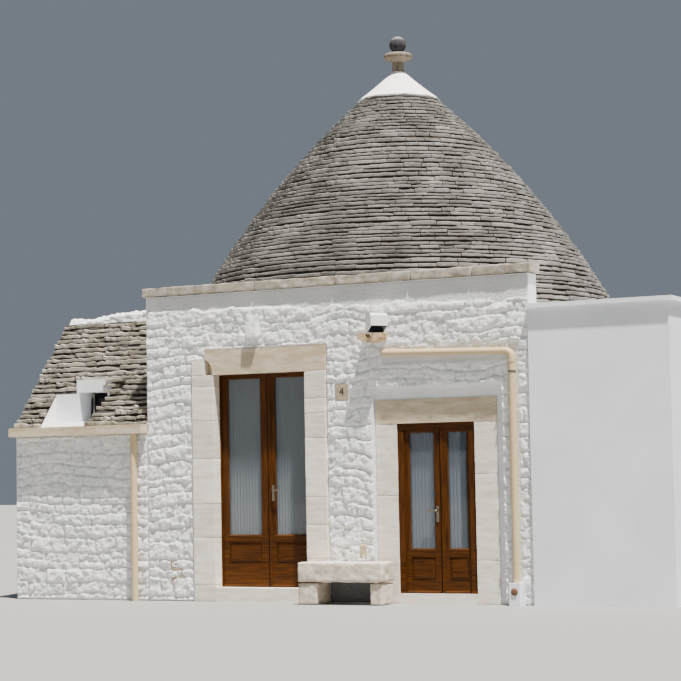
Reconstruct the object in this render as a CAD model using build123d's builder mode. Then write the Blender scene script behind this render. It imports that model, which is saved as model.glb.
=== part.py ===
"""A trullo house: a whitewashed stone block, a conical dry-stone roof and two double doors.

Millimetres, +Z up. X runs to the right along the street front and Y runs into the house.
The origin is on the ground, on the axis of the cone.
"""
from build123d import *
import math
import os

# Plan of the main block
front_width = 5130          # street front, from its left corner to the annex
front_left_of_axis = 2010   # the cone's axis stands this far right of that corner
axis_depth = 3300           # the cone's axis behind the street front
back_depth = 3300           # the back wall's face behind the cone's axis
wall_thickness = 600
party_wall_thickness = 400

# Heights of the main block
floor_height = 80
wall_height = 3200
roof_thickness = 250
parapet_height = 320
parapet_thickness = 240
upper_wall_base = 2850      # the front is one piece from here up

# Coping along the parapet
coping_thickness = 120
coping_front = 40
coping_back = 20
coping_ends = 50
coping_chamfer = 12

# Cone
cone_foot_radius = 2985
cone_foot_clearance = 5
cone_top_radius = 505
cone_height = 3170
cone_bulge = 180            # how far the outline stands out from a straight one
dome_foot_radius = 2300
dome_height = 2550
dome_top_radius = 250
cap_height = 365
cap_waist_radius = 290
cap_waist_height = 180
cap_lip = 10

# Pinnacle
neck_radius = 82
neck_height = 135
neck_taper = 8
dish_radius = 194
dish_rim_height = 75
dish_foot_radius = 150
dish_foot_height = 35
dish_lip_radius = 165
dish_lip_height = 117
dish_height = 138
ball_radius = 114
ball_seat = 10              # how deep the ball sits in the dish

# Left door
left_door_meeting = 1632    # where its leaves meet, from the front's left corner
left_leaf_width = 640
left_leaf_bottom = 178
left_leaf_top = 2790
left_glass_bottom = 805
left_glass_top = 2707
left_panel_bottom = 462
left_panel_top = 714
left_outer_stile = 90
left_meeting_stile = 99
left_frame_width = 50
left_lintel_underside = 2765
left_lintel_height = 300
left_lintel_start = 855
left_surround_proud = 40
left_frame_recess = 155     # from the stone's face to the wooden frame's face
left_jamb_inner = 980
left_jamb_width = 308
left_jamb_top = 2946        # its outer half rises beside the lintel
right_side_jamb_inner = 2240
right_side_jamb_width = 285
broken_corner_width = 112   # the lintel's lower left corner has broken away
broken_corner_height = 192
broken_corner_depth = 110

# Right door
right_door_meeting = 3938
right_wide_leaf = 447       # its left leaf
right_narrow_leaf = 381     # its right leaf, which carries the bead
right_leaf_bottom = 126
right_leaf_top = 2034
right_glass_bottom = 638
right_glass_top = 1985
right_panel_bottom = 270
right_panel_top = 540
wide_outer_stile = 63
wide_meeting_stile = 76
narrow_outer_stile = 50
narrow_meeting_stile = 96
right_frame_width = 68
right_lintel_underside = 2100
right_lintel_height = 280
right_stones_start = 3143
right_stones_end = 4685
right_surround_depth = 190
right_surround_proud = 15   # from the bay's face
right_frame_recess = 20
bay_depth = 65              # the smooth bay round the right door
bay_left = 3125
bay_right = 4765
bay_top = 2525

# Joinery of both doors
frame_depth = 70
frame_stop = 10             # the lip that covers the gap round the leaves
frame_stop_clearance = 6
leaf_thickness = 45
leaf_gap = 6
meeting_gap = 9
sill_gap = 8
glass_thickness = 6
glazing_bevel = 12
glazing_bevel_depth = 10
panel_thickness = 22
panel_groove = 5            # flat rim round the raised field
panel_bevel = 30
panel_raise = 7
bead_width = 38
bead_height = 10
bead_bevel = 5
bead_setback = 4            # from the leaf's meeting edge
bead_end = 15               # its top stops under the frame's lip
drip_height = 24
drip_reach = 14
drip_nose = 9
drip_setback = 12
curtain_thickness = 24
curtain_overlap = 14
curtain_air = 0.3
splay = 90
splay_start = 60
hinge_radius = 8
hinge_knuckle = 55
hinge_play = 0.3
hinge_clearance = 1
hinge_leaf_width = 32
hinge_leaf_thickness = 3
hinge_end_distance = 240
lever_radius = 9
lever_bend = 14
lever_length = 115
lever_stand_off = 48
handle_plate_width = 34
handle_plate_above = 57     # from the lever up to the plate's end
handle_plate_below = 133
handle_plate_thickness = 8
left_handle_height = 1345
right_handle_height = 1076

# Bench
bench_left = 2290
bench_length = 1115
bench_depth = 360
bench_underside = 260
bench_slab_height = 245
bench_nose = 55             # the worn top edge at the front
bench_round = 25
bench_left_leg = 260
bench_right_leg = 160
bench_leg_setback = 20
bench_leg_inset = 20        # of the right leg from the slab's end
bench_leg_round = 15

# Rainwater pipes
pipe_radius = 42
pipe_stand_off = 50
pipe_socket_radius = 47
pipe_socket_length = 50
long_pipe_start = 3300
long_pipe_corner = 4925
long_pipe_height = 2932
long_pipe_fall = 47
long_pipe_bend = 75
wall_bend = 46
alcove_pipe_centre = 160
alcove_pipe_stand_off = 80
pipe_clip_height = 2640
pipe_clip_width = 24
pipe_clip_thickness = 4
pipe_clip_lug = 20
pipe_foot_width = 164
pipe_foot_depth = 130
pipe_foot_height = 255
pipe_foot_chamfer = 20
pipe_foot_socket = 40

# Spout
spout_centre = 3195
spout_width = 300
spout_height = 108
spout_shoulder = 58         # height of its straight sides above the underside
spout_reach = 220
spout_underside = 3054
spout_channel_radius = 55
spout_bite = 200

# Lamp
lamp_width = 220
lamp_height = 228
lamp_depth = 150
lamp_turn = 52              # degrees that it faces to the right of the street
lamp_centre = 3330          # the middle of its glass
lamp_stand_off = 190
lamp_underside = 3168
lamp_hood_slope = 35
lamp_hood_drop = 28
lamp_glass_top = 80
lamp_glass_start = 30
lamp_arm_radius = 14
lamp_plate_width = 70
lamp_plate_thickness = 12

# Number tile
tile_centre = 2735
tile_width = 169
tile_height = 184
tile_thickness = 20
tile_middle = 2496

# Alcove at the left, under its own steep roof
alcove_width = 2000
alcove_wall_top = 2076
eave_height = 112
eave_reach = 170
eave_bite = 150
eave_channel_width = 80
eave_channel_depth = 50
eave_channel_lip = 40
eave_channel_stop = 60
alcove_roof_start = 30      # the foot of the slope stands this far out of the wall's face
alcove_ridge_rise = 150     # above the terrace
alcove_roof_angle = 49.6
alcove_roof_thickness = 250
ridge_width = 250
ridge_low = 50              # the rubble along the ridge rises to the right
ridge_high = 260
return_thickness = 240
niche_left = 1600           # left of the front's corner
niche_right = 600
niche_depth = 320           # the niche's wall behind the street front
niche_wall = 280
niche_floor = 2250
niche_wall_top = 2622
niche_cheek_foot = 910      # the well's right side leans from here
niche_cheek_top = 750       # up to here
dormer_left = 1273          # the wall rises through the slope over the window
dormer_right = 742
dormer_top = 2800
window_left = 1240
window_right = 800
window_head = 2640
window_depth = 800

# Annex at the right
annex_width = 1662
annex_depth = 3600
annex_proud = 50
annex_wall = 300
annex_drop = 40             # below the terrace
annex_slab = 150
annex_eave = 50
annex_eave_thickness = 50
inner_door_width = 900
inner_door_height = 2100
inner_door_centre = -1050   # along Y

# Places worked out from the sizes above
front = -axis_depth
inner_front = front + wall_thickness
back = back_depth
inner_back = back - wall_thickness
front_left = -front_left_of_axis
front_right = front_left + front_width
party_face = front_left - alcove_width
inner_left = party_face + party_wall_thickness
inner_right = front_right - wall_thickness
terrace = wall_height + roof_thickness
parapet_top = terrace + parapet_height
cone_top = terrace + cone_height
annex_top = terrace - annex_drop
alcove_ridge_height = terrace + alcove_ridge_rise
alcove_slope = math.tan(math.radians(alcove_roof_angle))
alcove_roof_run = alcove_roof_thickness / math.sin(math.radians(alcove_roof_angle))
alcove_roof_base = alcove_wall_top + eave_height
alcove_ridge_depth = front - alcove_roof_start + (alcove_ridge_height - alcove_roof_base) / alcove_slope
annex_front = front - annex_proud
annex_back = annex_front + annex_depth
annex_right = front_right + annex_width
left_surround_face = front - left_surround_proud
left_frame_face = left_surround_face + left_frame_recess
bench_back = left_surround_face
right_surround_face = front + bay_depth - right_surround_proud
right_frame_face = right_surround_face + right_frame_recess

os.makedirs("parts", exist_ok=True)


def along(distance):
    """X of a place measured from the street front's left corner."""
    return front_left + distance


def block(low, high, mode=Mode.ADD):
    """A box between two opposite corners, added to the part being built."""
    centre = [(a + b) / 2 for a, b in zip(low, high)]
    size = [b - a for a, b in zip(low, high)]
    with Locations(tuple(centre)):
        Box(*size, mode=mode)


def cut_cone_foot():
    """Stop a piece that stands on the terrace just short of the cone's foot."""
    with Locations((0, 0, terrace)):
        Cylinder(
            cone_foot_radius + cone_foot_clearance, cone_height,
            align=(Align.CENTER, Align.CENTER, Align.MIN), mode=Mode.SUBTRACT,
        )


def keep(builder, name):
    """Label a finished piece and write it."""
    builder.part.label = name
    export_step(builder.part, f"parts/{name}.step")


def roof_underside(y):
    """Height of the alcove roof's underside at a depth."""
    return alcove_roof_base + (y - front + alcove_roof_start - alcove_roof_run) * alcove_slope


def street_plane(y):
    """An upright plane at a depth that faces the street."""
    return Plane.XZ.offset(-y)


def room_plane(y):
    """An upright plane at a depth that faces the room; its own x axis runs to the left."""
    return Plane((0, y, 0), x_dir=(-1, 0, 0), z_dir=(0, 1, 0))


def bevelled(plane, middle, near, far, depth, mode=Mode.ADD):
    """A block whose sides lean from one rectangle to another over a depth."""
    with BuildSketch(plane) as foot:
        with Locations(middle):
            Rectangle(*near)
    with BuildSketch(plane.offset(depth)) as face:
        with Locations(middle):
            Rectangle(*far)
    loft(sections=[foot.sketch, face.sketch], mode=mode)


class Door:
    """A pair of leaves and their frame; side is -1 for the left leaf and 1 for the right one."""

    def __init__(self, name, meeting, widths, frame_face, frame_width, height, panel, glass, stiles):
        self.name = name
        self.meeting = along(meeting)
        self.leaf_width = {-1: widths[0], 1: widths[1]}
        self.frame_face = frame_face
        self.frame_width = frame_width
        self.bottom, self.top = height
        self.panel = panel
        self.glass = glass
        self.outer_stile = {-1: stiles[0][0], 1: stiles[1][0]}
        self.meeting_stile = {-1: stiles[0][1], 1: stiles[1][1]}
        self.left = self.post(-1) - frame_width
        self.right = self.post(1) + frame_width
        self.back = frame_face + frame_depth
        self.leaf_front = self.back - leaf_thickness
        self.frame_top = self.top + leaf_gap + frame_width
        self.sill = self.bottom - sill_gap

    def post(self, side):
        """X of the inner face of the frame's post."""
        return self.meeting + side * (self.leaf_width[side] + leaf_gap + meeting_gap / 2)

    def leaf(self, side):
        """X of the leaf's hinged edge and of its meeting edge."""
        return (self.post(side) - side * leaf_gap, self.meeting + side * meeting_gap / 2)

    def pane(self, side):
        """X of the left and right edge of the leaf's glass and panel."""
        outer, inner = self.leaf(side)
        return sorted((outer - side * self.outer_stile[side], inner + side * self.meeting_stile[side]))


left_door = Door(
    "left_door", left_door_meeting, (left_leaf_width, left_leaf_width),
    left_frame_face, left_frame_width, (left_leaf_bottom, left_leaf_top),
    (left_panel_bottom, left_panel_top), (left_glass_bottom, left_glass_top),
    ((left_outer_stile, left_meeting_stile), (left_outer_stile, left_meeting_stile)),
)
right_door = Door(
    "right_door", right_door_meeting, (right_wide_leaf, right_narrow_leaf),
    right_frame_face, right_frame_width, (right_leaf_bottom, right_leaf_top),
    (right_panel_bottom, right_panel_top), (right_glass_bottom, right_glass_top),
    ((wide_outer_stile, wide_meeting_stile), (narrow_outer_stile, narrow_meeting_stile)),
)
doors = (left_door, right_door)


# Walls and floor
def spout_outline(reach, mode=Mode.ADD):
    """The stone spout's section, drawn out to the street from its seat in the wall."""
    middle = along(spout_centre)
    left = middle - spout_width / 2
    right = middle + spout_width / 2
    with BuildSketch(street_plane(front + spout_bite)) as section:
        with BuildLine():
            Polyline(
                (left, spout_underside + spout_shoulder),
                (left, spout_underside + spout_height),
                (right, spout_underside + spout_height),
                (right, spout_underside + spout_shoulder),
            )
            ThreePointArc(
                (left, spout_underside + spout_shoulder),
                (middle, spout_underside),
                (right, spout_underside + spout_shoulder),
            )
        make_face()
    extrude(section.sketch, amount=reach, mode=mode)


def cut_splay(door):
    """Widen the doorway towards the room, so that a leaf with its handle can stand open."""
    block(
        (door.left - splay, door.back + splay_start, 0),
        (door.right + splay, inner_front, door.frame_top + splay),
        mode=Mode.SUBTRACT,
    )


left_stones = (along(left_jamb_inner - left_jamb_width), along(left_jamb_inner))
right_stones = (along(right_side_jamb_inner), along(right_side_jamb_inner + right_side_jamb_width))
left_lintel_top = left_lintel_underside + left_lintel_height


def left_surround(mode=Mode.ADD):
    """The jambs of the left door; the outer half of the left one rises beside the lintel."""
    for low, high in (left_stones, right_stones):
        block((low, left_surround_face, 0), (high, left_frame_face, left_lintel_underside), mode=mode)
    block(
        (left_stones[0], left_surround_face, left_lintel_underside),
        (along(left_lintel_start), left_frame_face, left_jamb_top),
        mode=mode,
    )


def left_lintel(mode=Mode.ADD):
    """The lintel of the left door, before its corner broke."""
    block(
        (along(left_lintel_start), left_surround_face, left_lintel_underside),
        (right_stones[1], left_frame_face, left_lintel_top),
        mode=mode,
    )


right_stone_left = along(right_stones_start)
right_stone_right = along(right_stones_end)
right_stone_top = right_lintel_underside + right_lintel_height
right_stone_back = right_surround_face + right_surround_depth


def cut_right_surround():
    """The smooth bay round the right door, and the seat of its stones."""
    block(
        (along(bay_left), front, 0),
        (along(bay_right), front + bay_depth, bay_top),
        mode=Mode.SUBTRACT,
    )
    block(
        (right_stone_left, front, 0),
        (right_stone_right, right_stone_back, right_stone_top),
        mode=Mode.SUBTRACT,
    )


with BuildPart() as floor_slab:
    block((inner_left, inner_front, 0), (inner_right, inner_back, floor_height))
    block(
        (inner_right, inner_door_centre - inner_door_width / 2, 0),
        (front_right, inner_door_centre + inner_door_width / 2, floor_height),
    )
    block(
        (front_right, annex_front + annex_wall, 0),
        (annex_right - annex_wall, annex_back - annex_wall, floor_height),
    )
keep(floor_slab, "floor_slab")

with BuildPart() as front_wall_left:
    block((front_left, front, 0), (left_door.left, inner_front, upper_wall_base))
    left_surround(mode=Mode.SUBTRACT)
    left_lintel(mode=Mode.SUBTRACT)
    cut_splay(left_door)
keep(front_wall_left, "front_wall_left")

with BuildPart() as front_wall_middle:
    block(
        (left_door.right, front, 0),
        (right_door.left, inner_front, upper_wall_base),
    )
    left_surround(mode=Mode.SUBTRACT)
    left_lintel(mode=Mode.SUBTRACT)
    cut_right_surround()
    cut_splay(left_door)
    cut_splay(right_door)
keep(front_wall_middle, "front_wall_middle")

with BuildPart() as front_wall_right:
    block((right_door.right, front, 0), (front_right, inner_front, upper_wall_base))
    cut_right_surround()
    cut_splay(right_door)
keep(front_wall_right, "front_wall_right")

with BuildPart() as wall_over_right_door:
    block(
        (right_door.left, front, right_door.frame_top),
        (right_door.right, inner_front, upper_wall_base),
    )
    cut_right_surround()
    cut_splay(right_door)
keep(wall_over_right_door, "wall_over_right_door")

with BuildPart() as front_wall_top:
    block((front_left, front, upper_wall_base), (front_right, inner_front, wall_height))
    block((front_left, front, wall_height), (front_right, front + parapet_thickness, parapet_top))
    block(
        (front_left, front + parapet_thickness, terrace),
        (front_left + return_thickness, alcove_ridge_depth, parapet_top),
    )
    left_surround(mode=Mode.SUBTRACT)
    left_lintel(mode=Mode.SUBTRACT)
    cut_splay(left_door)
    cut_cone_foot()
    spout_outline(spout_bite, mode=Mode.SUBTRACT)
keep(front_wall_top, "front_wall_top")

with BuildPart() as return_wall:
    block(
        (front_left, inner_front, roof_underside(inner_front)),
        (front_left + return_thickness, alcove_ridge_depth, wall_height),
    )
keep(return_wall, "return_wall")

with BuildPart() as left_wall:
    with BuildSketch(Plane.YZ.offset(party_face)):
        with BuildLine():
            Polyline(
                (front, 0),
                (back, 0),
                (back, wall_height),
                (alcove_ridge_depth, wall_height),
                (alcove_ridge_depth, roof_underside(alcove_ridge_depth)),
                (front - alcove_roof_start + alcove_roof_run, alcove_roof_base),
                (front + eave_bite, alcove_roof_base),
                (front + eave_bite, alcove_wall_top),
                (front, alcove_wall_top),
                close=True,
            )
        make_face()
    extrude(amount=party_wall_thickness)
keep(left_wall, "left_wall")

with BuildPart() as right_wall:
    block((inner_right, inner_front, 0), (front_right, inner_back, wall_height))
    block(
        (inner_right, inner_door_centre - inner_door_width / 2, 0),
        (front_right, inner_door_centre + inner_door_width / 2, floor_height + inner_door_height),
        mode=Mode.SUBTRACT,
    )
keep(right_wall, "right_wall")

with BuildPart() as back_wall:
    block((inner_left, inner_back, 0), (front_right, back, wall_height))
keep(back_wall, "back_wall")

with BuildPart() as terrace_slab:
    block((party_face, front + parapet_thickness, wall_height), (front_right, back, terrace))
    block(
        (party_face, front + parapet_thickness, wall_height),
        (front_left, alcove_ridge_depth, terrace),
        mode=Mode.SUBTRACT,
    )
    with Locations((0, 0, wall_height)):
        Cylinder(
            dome_foot_radius, roof_thickness,
            align=(Align.CENTER, Align.CENTER, Align.MIN), mode=Mode.SUBTRACT,
        )
keep(terrace_slab, "terrace_slab")

with BuildPart() as facade_coping:
    block(
        (front_left - coping_ends, front - coping_front, parapet_top),
        (
            front_right + coping_ends,
            front + parapet_thickness + coping_back,
            parapet_top + coping_thickness,
        ),
    )
    chamfer(facade_coping.edges().filter_by(Axis.X).group_by(Axis.Z)[-1], coping_chamfer)
    cut_cone_foot()
keep(facade_coping, "facade_coping")


# Cone
def outline_middle():
    """The point where the cone's outline stands furthest out of a straight one."""
    run = cone_foot_radius - cone_top_radius
    slant = math.hypot(run, cone_height)
    radius = (cone_foot_radius + cone_top_radius) / 2 + cone_bulge * cone_height / slant
    height = terrace + cone_height / 2 + cone_bulge * run / slant
    return (radius, height)


with BuildPart() as cone_roof:
    with BuildSketch(Plane.XZ):
        with BuildLine():
            ThreePointArc((cone_foot_radius, terrace), outline_middle(), (cone_top_radius, cone_top))
            Polyline(
                (cone_top_radius, cone_top),
                (0, cone_top),
                (0, terrace + dome_height),
                (dome_top_radius, terrace + dome_height),
                (dome_foot_radius, terrace),
                (cone_foot_radius, terrace),
            )
        make_face()
    revolve(axis=Axis.Z)
keep(cone_roof, "cone_roof")

with BuildPart() as cone_cap:
    with BuildSketch(Plane.XZ):
        with BuildLine():
            Polyline(
                (neck_radius, cone_top + cap_height),
                (0, cone_top + cap_height),
                (0, cone_top),
                (cone_top_radius + cap_lip, cone_top),
            )
            ThreePointArc(
                (cone_top_radius + cap_lip, cone_top),
                (cap_waist_radius, cone_top + cap_waist_height),
                (neck_radius, cone_top + cap_height),
            )
        make_face()
    revolve(axis=Axis.Z)
keep(cone_cap, "cone_cap")

neck_base = cone_top + cap_height
dish_base = neck_base + neck_height
dish_top = dish_base + dish_height

with BuildPart() as pinnacle:
    with BuildSketch(Plane.XZ):
        with BuildLine():
            Polyline(
                (0, dish_top),
                (0, neck_base),
                (neck_radius, neck_base),
                (neck_radius - neck_taper, dish_base),
                (dish_foot_radius, dish_base + dish_foot_height),
            )
            ThreePointArc(
                (dish_foot_radius, dish_base + dish_foot_height),
                (dish_radius, dish_base + dish_rim_height),
                (dish_lip_radius, dish_base + dish_lip_height),
            )
            Line((dish_lip_radius, dish_base + dish_lip_height), (0, dish_top))
        make_face()
    revolve(axis=Axis.Z)
    with Locations((0, 0, dish_top + ball_radius - ball_seat)):
        Sphere(ball_radius)
keep(pinnacle, "pinnacle")

# Stone round the doors
with BuildPart() as left_door_jambs:
    left_surround()
keep(left_door_jambs, "left_door_jambs")

with BuildPart() as left_door_lintel:
    left_lintel()
    with BuildSketch(street_plane(left_surround_face)):
        with Locations((along(left_lintel_start), left_lintel_underside)):
            Ellipse(broken_corner_width, broken_corner_height)
    extrude(amount=-broken_corner_depth, mode=Mode.SUBTRACT)
keep(left_door_lintel, "left_door_lintel")

with BuildPart() as right_door_jambs:
    block(
        (right_stone_left, right_surround_face, 0),
        (right_door.left, right_stone_back, right_lintel_underside),
    )
    block(
        (right_door.right, right_surround_face, 0),
        (right_stone_right, right_stone_back, right_lintel_underside),
    )
keep(right_door_jambs, "right_door_jambs")

with BuildPart() as right_door_lintel:
    block(
        (right_stone_left, right_surround_face, right_lintel_underside),
        (right_stone_right, right_stone_back, right_stone_top),
    )
    block(
        (right_door.left, right_frame_face, right_lintel_underside),
        (right_door.right, right_stone_back, right_door.frame_top),
        mode=Mode.SUBTRACT,
    )
keep(right_door_lintel, "right_door_lintel")

with BuildPart() as door_thresholds:
    block(
        (along(left_jamb_inner), left_surround_face, 0),
        (along(right_side_jamb_inner), left_frame_face, left_door.sill),
    )
    block(
        (left_door.left, left_frame_face, 0),
        (left_door.right, inner_front, left_door.sill),
    )
    block(
        (right_door.left, right_surround_face, 0),
        (right_door.right, inner_front, right_door.sill),
    )
keep(door_thresholds, "door_thresholds")


# Doors
def hinge_levels(door):
    """Undersides of the three hinges of a leaf."""
    low = door.bottom + hinge_end_distance
    high = door.top - hinge_end_distance - 2 * hinge_knuckle
    return (low, (low + high) / 2, high)


def hinge_axis(door, side):
    """X and Y of a leaf's hinge pins."""
    return (door.post(side) - side * leaf_gap / 2, door.back + hinge_radius + hinge_clearance)


def knuckle(door, side, level, towards):
    """Half of a hinge: a barrel, and a plate towards the frame (1) or the leaf (-1)."""
    x, y = hinge_axis(door, side)
    with Locations((x, y, level)):
        Cylinder(
            hinge_radius, hinge_knuckle,
            align=(Align.CENTER, Align.CENTER, Align.MIN),
        )
    reach = x + side * towards * hinge_leaf_width
    block(
        (min(x, reach), door.back, level),
        (max(x, reach), door.back + hinge_leaf_thickness, level + hinge_knuckle),
    )


for door in doors:
    stop_back = door.leaf_front - frame_stop_clearance
    head = door.frame_top - door.frame_width
    with BuildPart() as door_frame:
        for side, outer in ((-1, door.left), (1, door.right)):
            inner = door.post(side)
            lip = inner - side * frame_stop
            block(
                (min(inner, outer), door.frame_face, door.sill),
                (max(inner, outer), door.back, door.frame_top),
            )
            block((min(inner, lip), door.frame_face, door.sill), (max(inner, lip), stop_back, head))
            for level in hinge_levels(door):
                knuckle(door, side, level, 1)
        block((door.post(-1), door.frame_face, head), (door.post(1), door.back, door.frame_top))
        block((door.post(-1), door.frame_face, head - frame_stop), (door.post(1), stop_back, head))
    keep(door_frame, f"{door.name}_frame")


def cut_glazing(door, side):
    """The window of a leaf, with a bevelled edge towards the street."""
    left, right = door.pane(side)
    low, high = door.glass
    block((left, door.leaf_front, low), (right, door.back, high), mode=Mode.SUBTRACT)
    bevelled(
        street_plane(door.leaf_front + glazing_bevel_depth), ((left + right) / 2, (low + high) / 2),
        (right - left, high - low),
        (right - left + 2 * glazing_bevel, high - low + 2 * glazing_bevel),
        glazing_bevel_depth, mode=Mode.SUBTRACT,
    )


def sink_panels(door, side):
    """Sink a panel into both faces of a leaf, and raise a bevelled field in each."""
    left, right = door.pane(side)
    low, high = door.panel
    sink = (leaf_thickness - panel_thickness) / 2
    rim = (right - left - 2 * panel_groove, high - low - 2 * panel_groove)
    field = (rim[0] - 2 * panel_bevel, rim[1] - 2 * panel_bevel)
    street_floor = door.leaf_front + sink
    room_floor = door.back - sink
    block((left, door.leaf_front, low), (right, street_floor, high), mode=Mode.SUBTRACT)
    block((left, room_floor, low), (right, door.back, high), mode=Mode.SUBTRACT)
    for plane, facing in ((street_plane(street_floor), 1), (room_plane(room_floor), -1)):
        bevelled(plane, (facing * (left + right) / 2, (low + high) / 2), rim, field, panel_raise)


def bead_reach(side):
    """How far the bead reaches in from a leaf's meeting edge; only the right leaf has one."""
    return bead_setback + bead_width if side == 1 else 0


def meeting_bead(door, side):
    """The bead down the meeting edge of a leaf."""
    middle = door.leaf(side)[1] + side * (bead_setback + bead_width / 2)
    height = door.top - door.bottom - bead_end
    bevelled(
        street_plane(door.leaf_front), (middle, door.bottom + height / 2),
        (bead_width, height), (bead_width - 2 * bead_bevel, height), bead_height,
    )


def drip(door, side):
    """The moulding at a leaf's foot that throws rain off the sill."""
    edges = sorted(door.leaf(side))
    left = edges[0] + drip_setback
    right = edges[1] - drip_setback
    with BuildSketch(Plane.YZ.offset(left)) as section:
        with BuildLine():
            Polyline(
                (door.leaf_front, door.bottom),
                (door.leaf_front - drip_reach, door.bottom),
                (door.leaf_front - drip_reach, door.bottom + drip_nose),
                (door.leaf_front, door.bottom + drip_height),
                close=True,
            )
        make_face()
    extrude(section.sketch, amount=right - left)


for door in doors:
    for side, side_name in ((-1, "left"), (1, "right")):
        outer_edge, meeting_edge = door.leaf(side)
        glass_left, glass_right = door.pane(side)
        glass_low, glass_high = door.glass
        glass_face = (door.leaf_front + door.back - glass_thickness) / 2
        with BuildPart() as leaf:
            block(
                (min(outer_edge, meeting_edge), door.leaf_front, door.bottom),
                (max(outer_edge, meeting_edge), door.back, door.top),
            )
            cut_glazing(door, side)
            sink_panels(door, side)
            drip(door, side)
            if side == 1:
                meeting_bead(door, side)
            for level in hinge_levels(door):
                knuckle(door, side, level + hinge_knuckle + hinge_play, -1)
        keep(leaf, f"{door.name}_leaf_{side_name}")

        with BuildPart() as glass:
            block(
                (glass_left, glass_face, glass_low),
                (glass_right, glass_face + glass_thickness, glass_high),
            )
        keep(glass, f"{door.name}_glass_{side_name}")

        with BuildPart() as curtain:
            block(
                (glass_left - curtain_overlap, door.back + curtain_air, glass_low - curtain_overlap),
                (
                    glass_right + curtain_overlap,
                    door.back + curtain_air + curtain_thickness,
                    glass_high + curtain_overlap,
                ),
            )
        keep(curtain, f"{door.name}_curtain_{side_name}")

for door, side, height in ((left_door, 1, left_handle_height), (right_door, -1, right_handle_height)):
    flat_end = door.meeting_stile[side] - glazing_bevel
    stile_middle = door.leaf(side)[1] + side * (bead_reach(side) + flat_end) / 2
    with BuildPart() as handle:
        for face, outward in ((door.leaf_front, -1), (door.back, 1)):
            plate = face + outward * handle_plate_thickness
            block(
                (stile_middle - handle_plate_width / 2, min(face, plate), height - handle_plate_below),
                (stile_middle + handle_plate_width / 2, max(face, plate), height + handle_plate_above),
            )
            with BuildLine():
                lever_path = FilletPolyline(
                    (stile_middle, face + outward * handle_plate_thickness / 2, height),
                    (stile_middle, face + outward * lever_stand_off, height),
                    (stile_middle + side * lever_length, face + outward * lever_stand_off, height),
                    radius=lever_bend,
                )
            with BuildSketch(lever_path ^ 0):
                Circle(lever_radius)
            sweep(path=lever_path)
    keep(handle, f"{door.name}_handle")

# Bench
bench_front = bench_back - bench_depth
bench_right = bench_left + bench_length

with BuildPart() as bench_slab:
    block(
        (along(bench_left), bench_front, bench_underside),
        (along(bench_right), bench_back, bench_underside + bench_slab_height),
    )
    front_edges = bench_slab.edges().filter_by(Axis.X).group_by(Axis.Y)[0].sort_by(Axis.Z)
    fillet(front_edges[-1], bench_nose)
    fillet(bench_slab.edges().filter_by(Axis.Z).group_by(Axis.Y)[0], bench_round)
keep(bench_slab, "bench_slab")

with BuildPart() as bench_legs:
    block(
        (along(bench_left), bench_front + bench_leg_setback, 0),
        (along(bench_left + bench_left_leg), bench_back, bench_underside),
    )
    block(
        (along(bench_right - bench_leg_inset - bench_right_leg), bench_front + bench_leg_setback, 0),
        (along(bench_right - bench_leg_inset), bench_back, bench_underside),
    )
    fillet(bench_legs.edges().filter_by(Axis.Z).group_by(Axis.Y)[0], bench_leg_round)
keep(bench_legs, "bench_legs")

# Rainwater pipes
pipe_axis = front - pipe_stand_off
long_pipe_foot = pipe_foot_height - pipe_foot_socket
long_pipe_low = long_pipe_height - long_pipe_fall
pipe_direction = Vector(long_pipe_corner - long_pipe_start, 0, -long_pipe_fall).normalized()
elbow_start = Vector(along(long_pipe_corner), pipe_axis, long_pipe_low) - pipe_direction * long_pipe_bend
socket_back = elbow_start - pipe_direction * pipe_socket_length

with BuildPart() as drain_pipes:
    with BuildLine():
        pipe_path = FilletPolyline(
            (along(long_pipe_start), front, long_pipe_height),
            (along(long_pipe_start), pipe_axis, long_pipe_height),
            (along(long_pipe_corner), pipe_axis, long_pipe_low),
            (along(long_pipe_corner), pipe_axis, long_pipe_foot),
            radius=[wall_bend, long_pipe_bend],
        )
    with BuildSketch(pipe_path ^ 0):
        Circle(pipe_radius)
    sweep(path=pipe_path)
    for mouth in (
        Plane(socket_back, z_dir=pipe_direction),
        Plane((along(long_pipe_corner), pipe_axis, long_pipe_low - long_pipe_bend - pipe_socket_length)),
    ):
        with Locations(mouth):
            Cylinder(
                pipe_socket_radius, pipe_socket_length,
                align=(Align.CENTER, Align.CENTER, Align.MIN),
            )
    with Locations((along(-alcove_pipe_centre), front - alcove_pipe_stand_off, 0)):
        Cylinder(pipe_radius, alcove_wall_top, align=(Align.CENTER, Align.CENTER, Align.MIN))
keep(drain_pipes, "drain_pipes")

with BuildPart() as pipe_foot:
    block(
        (along(long_pipe_corner) - pipe_foot_width / 2, front - pipe_foot_depth, 0),
        (along(long_pipe_corner) + pipe_foot_width / 2, front, pipe_foot_height),
    )
    chamfer(pipe_foot.edges().filter_by(Axis.Z).group_by(Axis.Y)[0], pipe_foot_chamfer)
    with Locations((along(long_pipe_corner), pipe_axis, long_pipe_foot)):
        Cylinder(
            pipe_radius, pipe_foot_socket,
            align=(Align.CENTER, Align.CENTER, Align.MIN), mode=Mode.SUBTRACT,
        )
keep(pipe_foot, "pipe_foot")

with BuildPart() as pipe_clip:
    with BuildSketch(Plane.XY.offset(pipe_clip_height)):
        with Locations((along(long_pipe_corner), pipe_axis)):
            Circle(pipe_radius + pipe_clip_thickness)
        with Locations((along(long_pipe_corner), (front + pipe_axis) / 2)):
            Rectangle(pipe_clip_lug, pipe_stand_off)
        with Locations((along(long_pipe_corner), pipe_axis)):
            Circle(pipe_radius, mode=Mode.SUBTRACT)
    extrude(amount=pipe_clip_width)
keep(pipe_clip, "pipe_clip")

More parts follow.
